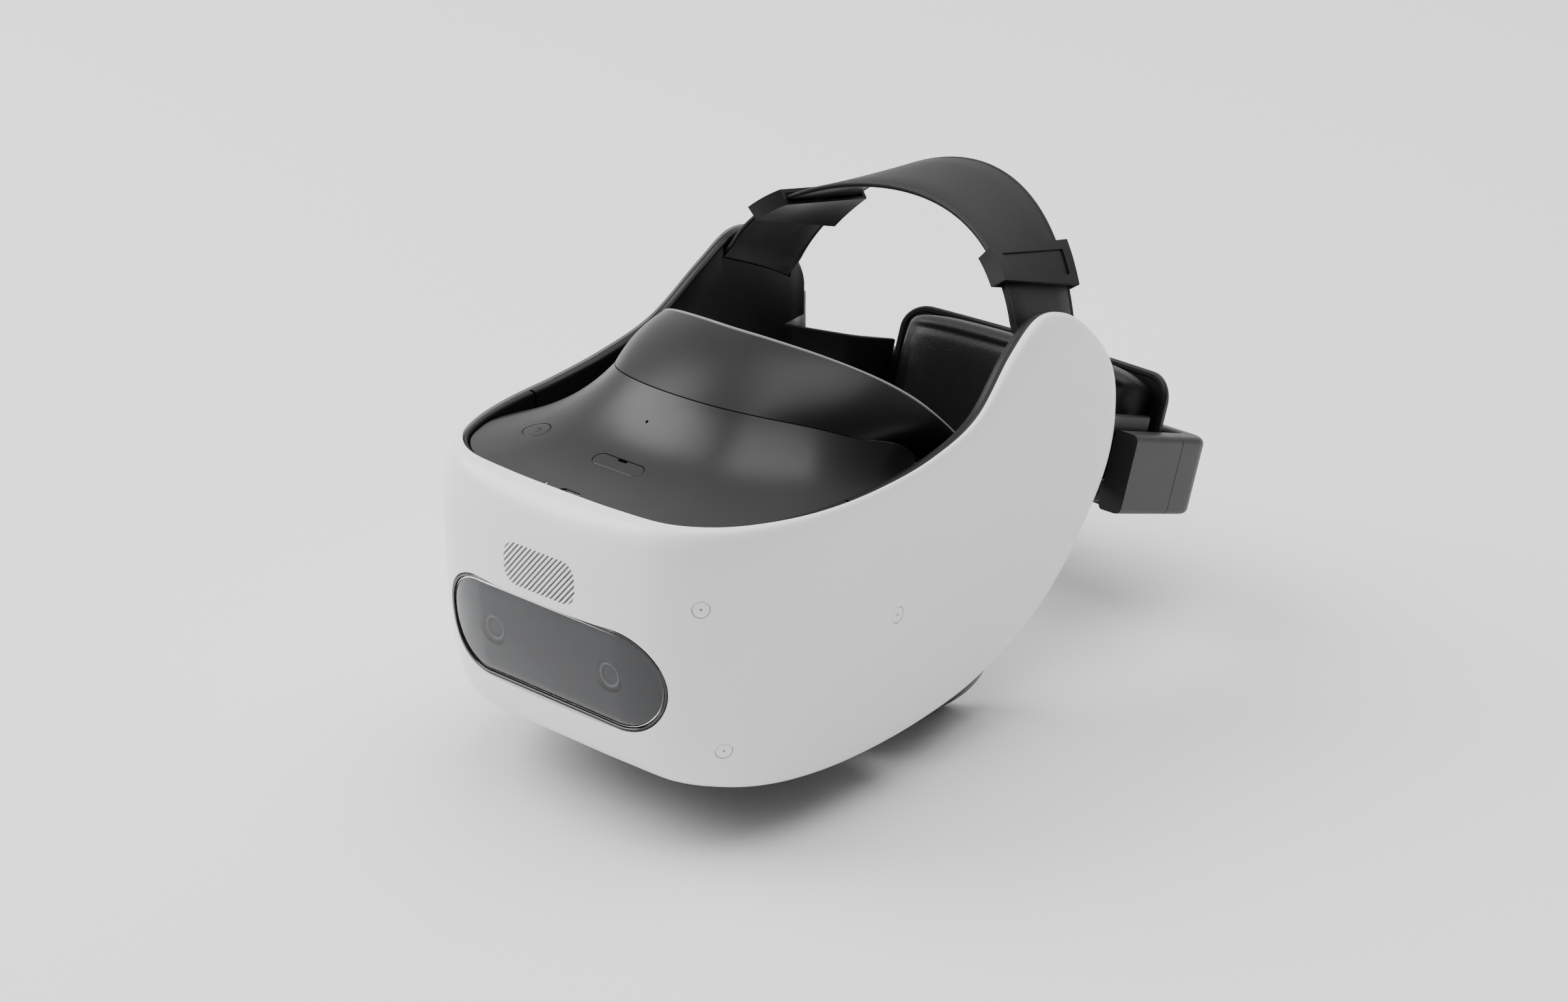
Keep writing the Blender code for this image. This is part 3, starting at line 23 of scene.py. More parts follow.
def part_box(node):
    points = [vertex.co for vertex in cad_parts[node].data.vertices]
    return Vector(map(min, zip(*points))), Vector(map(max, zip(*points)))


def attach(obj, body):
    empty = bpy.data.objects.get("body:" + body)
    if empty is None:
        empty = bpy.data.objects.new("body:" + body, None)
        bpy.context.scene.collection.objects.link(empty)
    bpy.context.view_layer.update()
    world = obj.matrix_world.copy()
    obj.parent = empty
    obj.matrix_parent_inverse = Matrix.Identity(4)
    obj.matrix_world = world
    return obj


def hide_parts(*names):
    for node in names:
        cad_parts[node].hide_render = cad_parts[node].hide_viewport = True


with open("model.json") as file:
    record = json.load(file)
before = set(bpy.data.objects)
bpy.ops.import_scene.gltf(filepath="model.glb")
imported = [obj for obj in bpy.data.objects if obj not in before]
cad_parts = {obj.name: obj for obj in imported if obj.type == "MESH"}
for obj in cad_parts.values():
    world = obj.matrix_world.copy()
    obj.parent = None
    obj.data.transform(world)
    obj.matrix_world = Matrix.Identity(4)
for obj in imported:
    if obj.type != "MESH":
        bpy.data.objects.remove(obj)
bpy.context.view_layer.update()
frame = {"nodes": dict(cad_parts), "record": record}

LOG = logging.getLogger("headset")
MM = 0.001
GAP = 0.3                 # clearance between pieces that touch, in mm
SMOOTH_ANGLE = 34.0       # edges sharper than this stay sharp
BODY_OF = {node: body for body, nodes in frame["record"]["behaviour"]["bodies"].items() for node in nodes}


@dataclass(frozen=True)
class HeadFrame:
    """Head frame in mm, tied to two CAD nodes of known place."""

    nose_y: float = -148.0
    belly_z: float = -60.5

    @cached_property
    def shift(self) -> np.ndarray:
        """Offset in mm from the head frame to the row frame."""
        return np.array((0.0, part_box("outer_shell")[0].y / MM - self.nose_y,
                         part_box("belly_cover")[0].z / MM - self.belly_z))

    def place(self, points: np.ndarray) -> np.ndarray:
        """Points in mm moved to metres in the row frame."""
        return (np.asarray(points, dtype=float) + self.shift) * MM


HEAD = HeadFrame()


# ---------------------------------------------------------------- curves and outlines

def smooth_step(low: float, high: float, value: float) -> float:
    """Smooth 0 to 1 between low and high."""
    t = min(max((value - low) / (high - low), 0.0), 1.0)
    return t * t * (3 - 2 * t)


def catmull(rows: Sequence, t: float, mirror: bool = True, closed: bool = False) -> np.ndarray:
    """Catmull-Rom value along rows.

    Args:
        rows: control values, one tuple for each.
        t: place along them, 0 to 1.
        mirror: the curve starts square to the symmetry plane.
        closed: it ends square to that plane too.

    Returns:
        The values at t.
    """
    table = np.asarray(rows, dtype=float)
    count = len(table) - 1
    s = min(max(t, 0.0), 1.0) * count
    i = min(int(s), count - 1)
    f = s - i
    p1, p2 = table[i], table[i + 1]
    flip = np.ones(table.shape[1])
    flip[0] = -1.0
    if i > 0:
        p0 = table[i - 1]
    else:
        p0 = table[1] * flip if mirror else 2 * p1 - p2
    if i + 2 <= count:
        p3 = table[i + 2]
    else:
        p3 = p1 * flip if closed else 2 * p2 - p1
    return 0.5 * (2 * p1 + (p2 - p0) * f + (2 * p0 - 5 * p1 + 4 * p2 - p3) * f * f
                  + (3 * p1 - p0 - 3 * p2 + p3) * f ** 3)


def round_loop(points: Sequence, steps: int) -> np.ndarray:
    """Closed Catmull-Rom loop through points, with steps between each pair."""
    table = np.asarray(points, dtype=float)
    count = len(table)
    made = []
    for i in range(count):
        p0, p1, p2, p3 = (table[(i + k) % count] for k in (-1, 0, 1, 2))
        for j in range(steps):
            f = j / steps
            made.append(0.5 * (2 * p1 + (p2 - p0) * f + (2 * p0 - 5 * p1 + 4 * p2 - p3) * f * f
                               + (3 * p1 - p0 - 3 * p2 + p3) * f ** 3))
    return np.array(made)


def stadium(half: float, radius: float, centre: tuple = (0.0, 0.0), steps: int = 40) -> np.ndarray:
    """Long outline with round ends; half is its half length over all."""
    points = []
    for side in (1, -1):
        for i in range(steps + 1):
            angle = -math.pi / 2 + math.pi * i / steps
            points.append((centre[0] + side * (half - radius + radius * math.cos(angle)),
                           centre[1] + side * radius * math.sin(angle)))
    return np.array(points)


def circle(radius: float, centre: tuple = (0.0, 0.0), count: int = 72) -> np.ndarray:
    """Points of a circle."""
    turn = np.linspace(0.0, 2 * math.pi, count, endpoint=False)
    return np.stack([centre[0] + radius * np.cos(turn), centre[1] + radius * np.sin(turn)], 1)


def rounded(half_x: float, half_y: float, radius: float, centre: tuple = (0.0, 0.0), steps: int = 8) -> np.ndarray:
    """Rectangle outline with round corners."""
    points = []
    for corner, (sx, sy) in enumerate(((1, 1), (-1, 1), (-1, -1), (1, -1))):
        for i in range(steps + 1):
            angle = math.pi / 2 * (corner + i / steps)
            points.append((centre[0] + sx * (half_x - radius) + radius * math.cos(angle),
                           centre[1] + sy * (half_y - radius) + radius * math.sin(angle)))
    return np.array(points)


# ---------------------------------------------------------------- meshes

def new_object(name: str, points: np.ndarray, faces: list, sharp: float = SMOOTH_ANGLE) -> bpy.types.Object:
    """Smooth-shaded object from head-frame points, with its faces turned outward.

    Args:
        name: the piece's name.
        points: corners in mm, in the head frame.
        faces: tuples of corner numbers.
        sharp: angle in degrees past which an edge stays sharp.

    Returns:
        The object, linked to the scene.
    """
    mesh = bpy.data.meshes.new(name)
    mesh.from_pydata(HEAD.place(points).tolist(), [], faces)
    work = bmesh.new()
    work.from_mesh(mesh)
    bmesh.ops.remove_doubles(work, verts=work.verts, dist=0.000005)
    bmesh.ops.recalc_face_normals(work, faces=work.faces)
    if work.calc_volume(signed=True) < 0:
        bmesh.ops.reverse_faces(work, faces=work.faces)
    work.to_mesh(mesh)
    work.free()
    item = bpy.data.objects.new(name, mesh)
    bpy.context.scene.collection.objects.link(item)
    smooth(item, sharp)
    return item


def smooth(item: bpy.types.Object, sharp: float = SMOOTH_ANGLE) -> None:
    """Shade smooth, with the edges past an angle left sharp."""
    item.data.shade_smooth()
    item.data.set_sharp_from_angle(angle=math.radians(sharp))


def grid_faces(rows: int, cols: int, wrap_rows: bool, wrap_cols: bool, base: int = 0) -> list:
    """Quads of a grid of points numbered row by row."""
    faces = []
    for i in range(rows if wrap_rows else rows - 1):
        n = (i + 1) % rows
        for j in range(cols if wrap_cols else cols - 1):
            k = (j + 1) % cols
            faces.append((base + i * cols + j, base + n * cols + j, base + n * cols + k, base + i * cols + k))
    return faces


def slab(name: str, outer: np.ndarray, inner: np.ndarray, wrap: bool = False) -> bpy.types.Object:
    """Closed solid between two equal grids of points, [along, across]."""
    rows, cols = outer.shape[:2]
    half = rows * cols
    points = np.concatenate([outer.reshape(-1, 3), inner.reshape(-1, 3)])
    faces = grid_faces(rows, cols, wrap, False) + grid_faces(rows, cols, wrap, False, half)
    for i in range(rows if wrap else rows - 1):
        n = (i + 1) % rows
        for j in (0, cols - 1):
            faces.append((i * cols + j, half + i * cols + j, half + n * cols + j, n * cols + j))
    if not wrap:
        for i in (0, rows - 1):
            for j in range(cols - 1):
                k = i * cols + j
                faces.append((k, k + 1, half + k + 1, half + k))
    return new_object(name, points, faces)


def loft(name: str, rings: Sequence, ring_closed: bool = False, sharp: float = SMOOTH_ANGLE) -> bpy.types.Object:
    """Solid through equal closed rings: capped at both ends, or joined end to end."""
    table = np.asarray(rings, dtype=float)
    rows, cols = table.shape[:2]
    faces = grid_faces(rows, cols, ring_closed, True)
    if not ring_closed:
        faces.append(tuple(range(cols)))
        faces.append(tuple((rows - 1) * cols + j for j in range(cols)))
    return new_object(name, table.reshape(-1, 3), faces, sharp)


def prism(name: str, outline: np.ndarray, axis: str, low: float, high: float,
          place: Callable | None = None) -> bpy.types.Object:
    """Extrude a closed outline along an axis: (x, z) for y, (x, y) for z, (y, z) for x."""
    rings = []
    for level in (low, high):
        ring = []
        for a, b in outline:
            local = {"x": (level, a, b), "y": (a, level, b), "z": (a, b, level)}[axis]
            ring.append(place(local) if place else local)
        rings.append(ring)
    return loft(name, rings)


def combine(item: bpy.types.Object, other: bpy.types.Object, operation: str) -> bpy.types.Object:
    """Exact Boolean of two closed solids, applied; the second one is removed."""
    modifier = item.modifiers.new("combine", "BOOLEAN")
    modifier.object = other
    modifier.operation = operation
    modifier.solver = "EXACT"
    item = flatten(item)
    bpy.data.objects.remove(other, do_unlink=True)
    smooth(item)
    return item


def flatten(item: bpy.types.Object) -> bpy.types.Object:
    """Turn an object's modifiers into its plain mesh."""
    bpy.context.view_layer.update()
    graph = bpy.context.evaluated_depsgraph_get()
    mesh = bpy.data.meshes.new_from_object(item.evaluated_get(graph))
    item.modifiers.clear()
    item.data = mesh
    return item


def bevel(item: bpy.types.Object, width: float, segments: int = 3, angle: float = 34.0) -> bpy.types.Object:
    """Round an object's sharp edges by a width in mm."""
    modifier = item.modifiers.new("edge", "BEVEL")
    modifier.width = width * MM
    modifier.segments = segments
    modifier.limit_method = "ANGLE"
    modifier.angle_limit = math.radians(angle)
    modifier.use_clamp_overlap = True
    modifier.miter_outer = "MITER_ARC"
    return item


def refined(node: str, edge: float = 0.25, sharp: float = 30.0) -> bpy.types.Object:
    """Copy of a CAD node with merged corners, smooth shading and softened edges.

    Args:
        node: the CAD node's name.
        edge: width of the softened edge in mm, or 0 for none.
        sharp: angle in degrees past which an edge is an edge.

    Returns:
        The copy, not yet riding on a body.
    """
    mesh = frame["nodes"][node].data.copy()
    mesh.materials.clear()
    work = bmesh.new()
    work.from_mesh(mesh)
    bmesh.ops.remove_doubles(work, verts=work.verts, dist=0.00001)
    bmesh.ops.dissolve_limit(work, angle_limit=math.radians(0.5), verts=work.verts, edges=work.edges)
    work.to_mesh(mesh)
    work.free()
    for name in [a.name for a in mesh.attributes if a.name == "custom_normal"]:
        mesh.attributes.remove(mesh.attributes[name])
    item = bpy.data.objects.new(node + "_look", mesh)
    bpy.context.scene.collection.objects.link(item)
    smooth(item, sharp)
    if edge:
        bevel(item, edge, 2, sharp)
    return item


class Drape:
    """Drops points onto a smooth skin along one direction."""

    def __init__(self, skin: bpy.types.Object, direction: tuple) -> None:
        """Keep the skin's faces.

        Args:
            skin: the mesh to land on.
            direction: unit vector of the drop.
        """
        work = bmesh.new()
        work.from_mesh(skin.data)
        self.tree = BVHTree.FromBMesh(work)
        work.free()
        self.direction = np.array(direction, dtype=float)

    def land(self, point: Sequence, direction: Sequence | None = None) -> np.ndarray:
        """Head-frame point in mm where a drop from 60 mm outside the given point lands."""
        way = self.direction if direction is None else np.asarray(direction, dtype=float)
        start = HEAD.place(np.asarray(point, dtype=float) - way * 60.0)
        hit = self.tree.ray_cast(Vector(start), Vector(way))[0]
        if hit is None:
            hit = self.tree.find_nearest(Vector(HEAD.place(point)))[0]
        return np.array(hit) / MM - HEAD.shift


# ---------------------------------------------------------------- finishes

class Grain(Enum):
    """Kinds of fine surface texture."""

    MOULDED = "moulded grain"
    SOFT = "soft-touch grain"
    LEATHER = "leather grain"
    FOAM = "foam nap"
    BRUSHED = "brushed grain"
    CLEAR = "clear"


@dataclass(frozen=True)
class Finish:
    """How one surface looks; sizes are in mm."""

    name: str
    slot: str
    colour: tuple[float, float, float]
    roughness: float
    grain: Grain
    cell: float = 0.35
    depth: float = 0.006
    tone: float = 0.06
    metallic: float = 0.0
    coat: float = 0.0
    coat_roughness: float = 0.08
    sheen: float = 0.0
    transmission: float = 0.0
    gloss: float = 0.5
    ior: float = 1.5
    seams: tuple = ()


SHELL_SEAM = ((0.0, 0.888, 0.459), -8.7, 0.10)    # plane normal, offset and half width of the wing joint

SHELL_WHITE = Finish("satin white shell", "shell_white", (0.87, 0.87, 0.878), 0.33, Grain.MOULDED, 0.5, 0.0022,
                     0.012, coat=0.25, coat_roughness=0.22, seams=(SHELL_SEAM,))
VISOR_TINT = Finish("dark visor glass", "visor_black", (0.30, 0.31, 0.33), 0.03, Grain.CLEAR, 1.0, 0.0,
                    0.0, transmission=1.0, ior=1.46)
VISOR_PAINT = Finish("visor back paint", "visor_black", (0.006, 0.006, 0.007), 0.25, Grain.MOULDED, 0.4, 0.001)
GLOSS_BLACK = Finish("gloss black rim", "satin_black", (0.012, 0.012, 0.013), 0.16, Grain.MOULDED, 0.5, 0.0008)
SATIN_BLACK = Finish("satin black moulding", "satin_black", (0.005, 0.005, 0.0052), 0.38, Grain.MOULDED, 0.30,
                     0.0040, 0.10, gloss=0.22)
HOOD_BLACK = Finish("satin black hood", "satin_black", (0.004, 0.004, 0.0042), 0.36, Grain.MOULDED, 0.28,
                    0.0030, 0.08, gloss=0.26)
DECK_GREY = Finish("satin deck", "deck_grey", (0.007, 0.007, 0.0072), 0.34, Grain.MOULDED, 0.32, 0.0030, 0.06,
                   gloss=0.34)
SOFT_BLACK = Finish("soft-touch black", "soft_black", (0.016, 0.016, 0.017), 0.48, Grain.SOFT, 0.22, 0.0075,
                    0.12, gloss=0.4)
FOAM_GREY = Finish("grey face foam", "foam_grey", (0.20, 0.20, 0.205), 0.92, Grain.FOAM, 0.55, 0.045, 0.20,
                   sheen=0.25)
LEATHER = Finish("black imitation leather", "leather_black", (0.006, 0.006, 0.0062), 0.42, Grain.LEATHER, 0.95,
                 0.050, 0.16, gloss=0.26)
STRAP_LEATHER = Finish("strap leather", "leather_black", (0.006, 0.006, 0.0062), 0.46, Grain.LEATHER, 0.80,
                       0.045, 0.18, gloss=0.26)
LENS = Finish("optical lens", "lens_clear", (0.92, 0.95, 0.98), 0.015, Grain.CLEAR, transmission=1.0)
DISPLAY = Finish("display panel", "display_dark", (0.008, 0.010, 0.018), 0.12, Grain.MOULDED, 0.2, 0.0006)
STEEL = Finish("bright steel", "steel", (0.60, 0.61, 0.63), 0.28, Grain.BRUSHED, 0.25, 0.0020, 0.08, metallic=1.0)
ALUMINIUM = Finish("satin aluminium", "aluminium", (0.66, 0.67, 0.69), 0.38, Grain.BRUSHED, 0.35, 0.0025,
                   0.06, metallic=1.0)
BOARD = Finish("solder mask", "board_green", (0.015, 0.10, 0.05), 0.42, Grain.MOULDED, 0.6, 0.004, 0.25)
BATTERY_FILM = Finish("battery film", "battery_blue", (0.07, 0.09, 0.15), 0.40, Grain.MOULDED, 1.4, 0.010, 0.10)
LAMP = Finish("translucent lamp", "led_white", (0.75, 0.78, 0.80), 0.25, Grain.MOULDED, 0.3, 0.001, 0.03)


class Graph:
    """Short way of adding nodes to a tree."""

    def __init__(self, tree: bpy.types.NodeTree) -> None:
        """Keep the tree."""
        self.tree = tree

    def add(self, kind: str, values: dict | None = None, **settings: object) -> bpy.types.Node:
        """Add a node.

        Args:
            kind: the node's type.
            values: input name or number to a value or to a socket to link.
            **settings: properties of the node.

        Returns:
            The node.
        """
        node = self.tree.nodes.new(kind)
        for key, value in settings.items():
            setattr(node, key, value)
        for key, value in (values or {}).items():
            if isinstance(value, bpy.types.NodeSocket):
                self.tree.links.new(value, node.inputs[key])
            else:
                node.inputs[key].default_value = value
        return node

    def maths(self, operation: str, first: object, second: object = 0.0, clamp: bool = False) -> bpy.types.NodeSocket:
        """Result of one Math node."""
        return self.add("ShaderNodeMath", {0: first, 1: second}, operation=operation, use_clamp=clamp).outputs[0]


class FinishShop:
    """Makes each material once, and the node groups that they share."""

    def __init__(self) -> None:
        """Start with nothing made."""
        self.made: dict[str, bpy.types.Material] = {}
        self.groups: dict[str, bpy.types.NodeTree] = {}

    def group(self, name: str, inputs: dict, outputs: Sequence, fill: Callable) -> bpy.types.NodeTree:
        """Node group with named sockets, built the first time it is asked for.

        Args:
            name: the group's name.
            inputs: socket name to (socket type, default value).
            outputs: names of the value outputs.
            fill: adds the nodes, given the graph, the input node and the output node.

        Returns:
            The group.
        """
        if name in self.groups:
            return self.groups[name]
        tree = bpy.data.node_groups.new(name, "ShaderNodeTree")
        for label, (kind, value) in inputs.items():
            socket = tree.interface.new_socket(name=label, in_out="INPUT", socket_type=kind)
            if value is not None:
                socket.default_value = value
        for label in outputs:
            tree.interface.new_socket(name=label, in_out="OUTPUT", socket_type="NodeSocketFloat")
        graph = Graph(tree)
        fill(graph, graph.add("NodeGroupInput"), graph.add("NodeGroupOutput"))
        self.groups[name] = tree
        return tree

    def grain_group(self, grain: Grain) -> bpy.types.NodeTree:
        """Group that gives a grain's Height and slow Tone, each 0 to 1; the leather Tone also carries painted shade in
        the creases between pebbles.
        """
        fills = {Grain.MOULDED: self.fill_moulded, Grain.SOFT: self.fill_soft, Grain.LEATHER: self.fill_leather,
                 Grain.FOAM: self.fill_foam, Grain.BRUSHED: self.fill_brushed}
        inputs = {"Vector": ("NodeSocketVector", None), "Cell": ("NodeSocketFloat", 0.4)}
        return self.group(grain.value, inputs, ("Height", "Tone"), fills[grain])

    @staticmethod
    def scale_of(graph: Graph, cell: bpy.types.NodeSocket, share: float = 1.0) -> bpy.types.NodeSocket:
        """Texture scale, in cells per metre, of a cell size in mm times share."""
        return graph.maths("DIVIDE", 1.0 / (MM * share), cell)

    def tone(self, graph: Graph, source: bpy.types.Node, share: float = 60.0) -> bpy.types.NodeSocket:
        """Slow cloudy value used for colour and roughness."""
        noise = graph.add("ShaderNodeTexNoise", {"Vector": source.outputs["Vector"],
                                                 "Scale": self.scale_of(graph, source.outputs["Cell"], share),
                                                 "Detail": 3.0, "Roughness": 0.55})
        return noise.outputs["Fac"]

    def fill_moulded(self, graph: Graph, source: bpy.types.Node, sink: bpy.types.Node) -> None:
        """Fine spark-eroded mould texture."""
        noise = graph.add("ShaderNodeTexNoise", {"Vector": source.outputs["Vector"],
                                                 "Scale": self.scale_of(graph, source.outputs["Cell"]),
                                                 "Detail": 2.0, "Roughness": 0.6})
        graph.tree.links.new(noise.outputs["Fac"], sink.inputs["Height"])
        graph.tree.links.new(self.tone(graph, source), sink.inputs["Tone"])

    def fill_soft(self, graph: Graph, source: bpy.types.Node, sink: bpy.types.Node) -> None:
        """Rubbery paint: very fine round grains."""
        cells = graph.add("ShaderNodeTexVoronoi", {"Vector": source.outputs["Vector"],
                                                   "Scale": self.scale_of(graph, source.outputs["Cell"])})
        height = graph.maths("SUBTRACT", 1.0, cells.outputs["Distance"], clamp=True)
        graph.tree.links.new(height, sink.inputs["Height"])
        graph.tree.links.new(self.tone(graph, source, 45.0), sink.inputs["Tone"])

    def fill_leather(self, graph: Graph, source: bpy.types.Node, sink: bpy.types.Node) -> None:
        """Pebbles with creases between them and a few pores; the Tone also darkens the creases as painted shade."""
        scale = self.scale_of(graph, source.outputs["Cell"])
        warp = graph.add("ShaderNodeTexNoise", {"Vector": source.outputs["Vector"],
                                                "Scale": self.scale_of(graph, source.outputs["Cell"], 2.4),
                                                "Detail": 2.0})
        push = graph.add("ShaderNodeVectorMath", {0: warp.outputs["Color"], 1: (0.0009, 0.0009, 0.0009)},
                         operation="MULTIPLY")
        moved = graph.add("ShaderNodeVectorMath", {0: source.outputs["Vector"], 1: push.outputs[0]}, operation="ADD")
        edge = graph.add("ShaderNodeTexVoronoi", {"Vector": moved.outputs[0], "Scale": scale},
                         feature="DISTANCE_TO_EDGE")
        pebble = graph.add("ShaderNodeMapRange", {"Value": edge.outputs["Distance"], "From Min": 0.0,
                                                  "From Max": 0.22}, interpolation_type="SMOOTHERSTEP")
        pores = graph.add("ShaderNodeTexNoise", {"Vector": source.outputs["Vector"],
                                                 "Scale": self.scale_of(graph, source.outputs["Cell"], 0.35),
                                                 "Detail": 1.0})
        fine = graph.maths("MULTIPLY", pores.outputs["Fac"], 0.25)
        height = graph.maths("ADD", graph.maths("MULTIPLY", pebble.outputs["Result"], 0.75), fine)
        graph.tree.links.new(height, sink.inputs["Height"])
        # colour tone: 0.6 cloudy variation of the leather's own colour, 0.4 painted shade that darkens the creases
        # between pebbles
        tone_and_crease_shade = graph.maths("ADD", graph.maths("MULTIPLY", self.tone(graph, source, 25.0), 0.6),
                            graph.maths("MULTIPLY", pebble.outputs["Result"], 0.4))
        graph.tree.links.new(tone_and_crease_shade, sink.inputs["Tone"])

    def fill_foam(self, graph: Graph, source: bpy.types.Node, sink: bpy.types.Node) -> None:
        """Short nap of a fabric-faced foam."""
        scale = self.scale_of(graph, source.outputs["Cell"])
        cells = graph.add("ShaderNodeTexVoronoi", {"Vector": source.outputs["Vector"], "Scale": scale},
                          feature="SMOOTH_F1")
        nap = graph.add("ShaderNodeTexNoise", {"Vector": source.outputs["Vector"],
                                               "Scale": self.scale_of(graph, source.outputs["Cell"], 0.3),
                                               "Detail": 3.0, "Roughness": 0.7})
        height = graph.maths("ADD", graph.maths("MULTIPLY", cells.outputs["Distance"], 0.6),
                             graph.maths("MULTIPLY", nap.outputs["Fac"], 0.4))
        graph.tree.links.new(height, sink.inputs["Height"])
        graph.tree.links.new(nap.outputs["Fac"], sink.inputs["Tone"])

    def fill_brushed(self, graph: Graph, source: bpy.types.Node, sink: bpy.types.Node) -> None:
        """Long scratches along X."""
        drawn = graph.add("ShaderNodeMapping", {"Vector": source.outputs["Vector"], "Scale": (0.04, 1.0, 1.0)})
        noise = graph.add("ShaderNodeTexNoise", {"Vector": drawn.outputs[0],
                                                 "Scale": self.scale_of(graph, source.outputs["Cell"]),
                                                 "Detail": 4.0, "Roughness": 0.65})
        graph.tree.links.new(noise.outputs["Fac"], sink.inputs["Height"])
        graph.tree.links.new(noise.outputs["Fac"], sink.inputs["Tone"])

    @staticmethod
    def fill_hairline(graph: Graph, source: bpy.types.Node, sink: bpy.types.Node) -> None:
        """Mask of 1 on a thin line where a plane meets the surface."""
        reach = graph.add("ShaderNodeVectorMath", {0: source.outputs["Vector"], 1: source.outputs["Normal"]},
                          operation="DOT_PRODUCT").outputs["Value"]
        away = graph.maths("ABSOLUTE", graph.maths("SUBTRACT", reach, source.outputs["Offset"]))
        mask = graph.add("ShaderNodeMapRange", {"Value": away, "From Min": 0.0, "From Max": source.outputs["Width"],
                                                "To Min": 1.0, "To Max": 0.0})
        graph.tree.links.new(mask.outputs["Result"], sink.inputs["Mask"])

    def hairline(self, graph: Graph, vector: bpy.types.NodeSocket, seam: tuple) -> bpy.types.NodeSocket:
        """Mask of one joint line, from its plane in the head frame."""
        normal, offset, width = seam
        inputs = {"Vector": ("NodeSocketVector", None), "Normal": ("NodeSocketVector", (0.0, 1.0, 0.0)),
                  "Offset": ("NodeSocketFloat", 0.0), "Width": ("NodeSocketFloat", 0.0001)}
        tree = self.group("hairline joint", inputs, ("Mask",), self.fill_hairline)
        node = graph.add("ShaderNodeGroup", node_tree=tree)
        graph.tree.links.new(vector, node.inputs["Vector"])
        node.inputs["Normal"].default_value = normal
        node.inputs["Offset"].default_value = (offset + float(np.dot(normal, HEAD.shift))) * MM
        node.inputs["Width"].default_value = width * MM
        return node.outputs["Mask"]

    def material(self, finish: Finish) -> bpy.types.Material:
        """Material of one finish, made once."""
        if finish.name in self.made:
            return self.made[finish.name]
        made = bpy.data.materials.new(finish.name)
        made.use_nodes = True
        graph = Graph(made.node_tree)
        shader = made.node_tree.nodes["Principled BSDF"]
        plain = {"Metallic": finish.metallic, "Coat Weight": finish.coat, "Coat Roughness": finish.coat_roughness,
                 "Sheen Weight": finish.sheen, "Transmission Weight": finish.transmission,
                 "Specular IOR Level": finish.gloss, "IOR": finish.ior}
        for key, value in plain.items():
            shader.inputs[key].default_value = value
        made.diffuse_color = (*finish.colour, 1.0)
        if finish.grain is Grain.CLEAR:
            self.dress_clear(graph, shader, finish)
        else:
            self.dress_grained(graph, shader, finish)
        self.made[finish.name] = made
        return made

    @staticmethod
    def dress_clear(graph: Graph, shader: bpy.types.Node, finish: Finish) -> None:
        """Polished glass with faint handling marks in its roughness."""
        shader.inputs["Base Color"].default_value = (*finish.colour, 1.0)
        vector = graph.add("ShaderNodeTexCoord").outputs["Object"]
        noise = graph.add("ShaderNodeTexNoise", {"Vector": vector, "Scale": 55.0, "Detail": 2.0})
        marks = graph.add("ShaderNodeMapRange", {"Value": noise.outputs["Fac"], "From Min": 0.45, "From Max": 0.75,
                                                 "To Min": finish.roughness, "To Max": finish.roughness + 0.035})
        graph.tree.links.new(marks.outputs["Result"], shader.inputs["Roughness"])

    def dress_grained(self, graph: Graph, shader: bpy.types.Node, finish: Finish) -> None:
        """Colour, roughness and relief that follow the finish's grain."""
        vector = graph.add("ShaderNodeTexCoord").outputs["Object"]
        grain = graph.add("ShaderNodeGroup", node_tree=self.grain_group(finish.grain))
        graph.tree.links.new(vector, grain.inputs["Vector"])
        grain.inputs["Cell"].default_value = finish.cell
        low = tuple(c * (1 - finish.tone) for c in finish.colour)
        high = tuple(min(c * (1 + finish.tone), 1.0) for c in finish.colour)
        # the Tone sets the colour between low and high; for leather it carries painted shade in the creases
        blend = graph.add("ShaderNodeMix", {0: grain.outputs["Tone"], 6: (*low, 1.0), 7: (*high, 1.0)},
                          data_type="RGBA")
        colour = blend.outputs[2]
        height = grain.outputs["Height"]
        for seam in finish.seams:
            mask = self.hairline(graph, vector, seam)
            faint = graph.maths("MULTIPLY", mask, 0.16)
            dark = tuple(c * 0.25 for c in finish.colour)
            colour = graph.add("ShaderNodeMix", {0: faint, 6: colour, 7: (*dark, 1.0)}, data_type="RGBA").outputs[2]
            height = graph.maths("SUBTRACT", height, graph.maths("MULTIPLY", mask, 6.0))
        graph.tree.links.new(colour, shader.inputs["Base Color"])
        spread = 0.5 * finish.tone
        rough = graph.add("ShaderNodeMapRange", {"Value": grain.outputs["Tone"],
                                                 "To Min": finish.roughness * (1 + spread),
                                                 "To Max": finish.roughness * (1 - spread)})
        graph.tree.links.new(rough.outputs["Result"], shader.inputs["Roughness"])
        relief = graph.add("ShaderNodeBump", {"Height": height, "Distance": finish.depth * MM, "Strength": 1.0})
        graph.tree.links.new(relief.outputs["Normal"], shader.inputs["Normal"])


SHOP = FinishShop()


def dress(item: bpy.types.Object, finish: Finish, *nodes: str, body: str | None = None) -> bpy.types.Object:
    """Give a piece its finish and hand it to the CAD body of the nodes that it stands for.

    Args:
        item: the piece.
        finish: its finish.
        *nodes: CAD nodes that it replaces.
        body: the body that it rides on, where it replaces none.

    Returns:
        The piece.
    """
    item.data.materials.clear()
    item.data.materials.append(SHOP.material(finish))
    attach(item, body or BODY_OF[nodes[0]])
    if nodes:
        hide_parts(*nodes)
    LOG.info("%s: %s, %d faces", item.name, finish.name, len(item.data.polygons))
    return item


# ---------------------------------------------------------------- repeated details

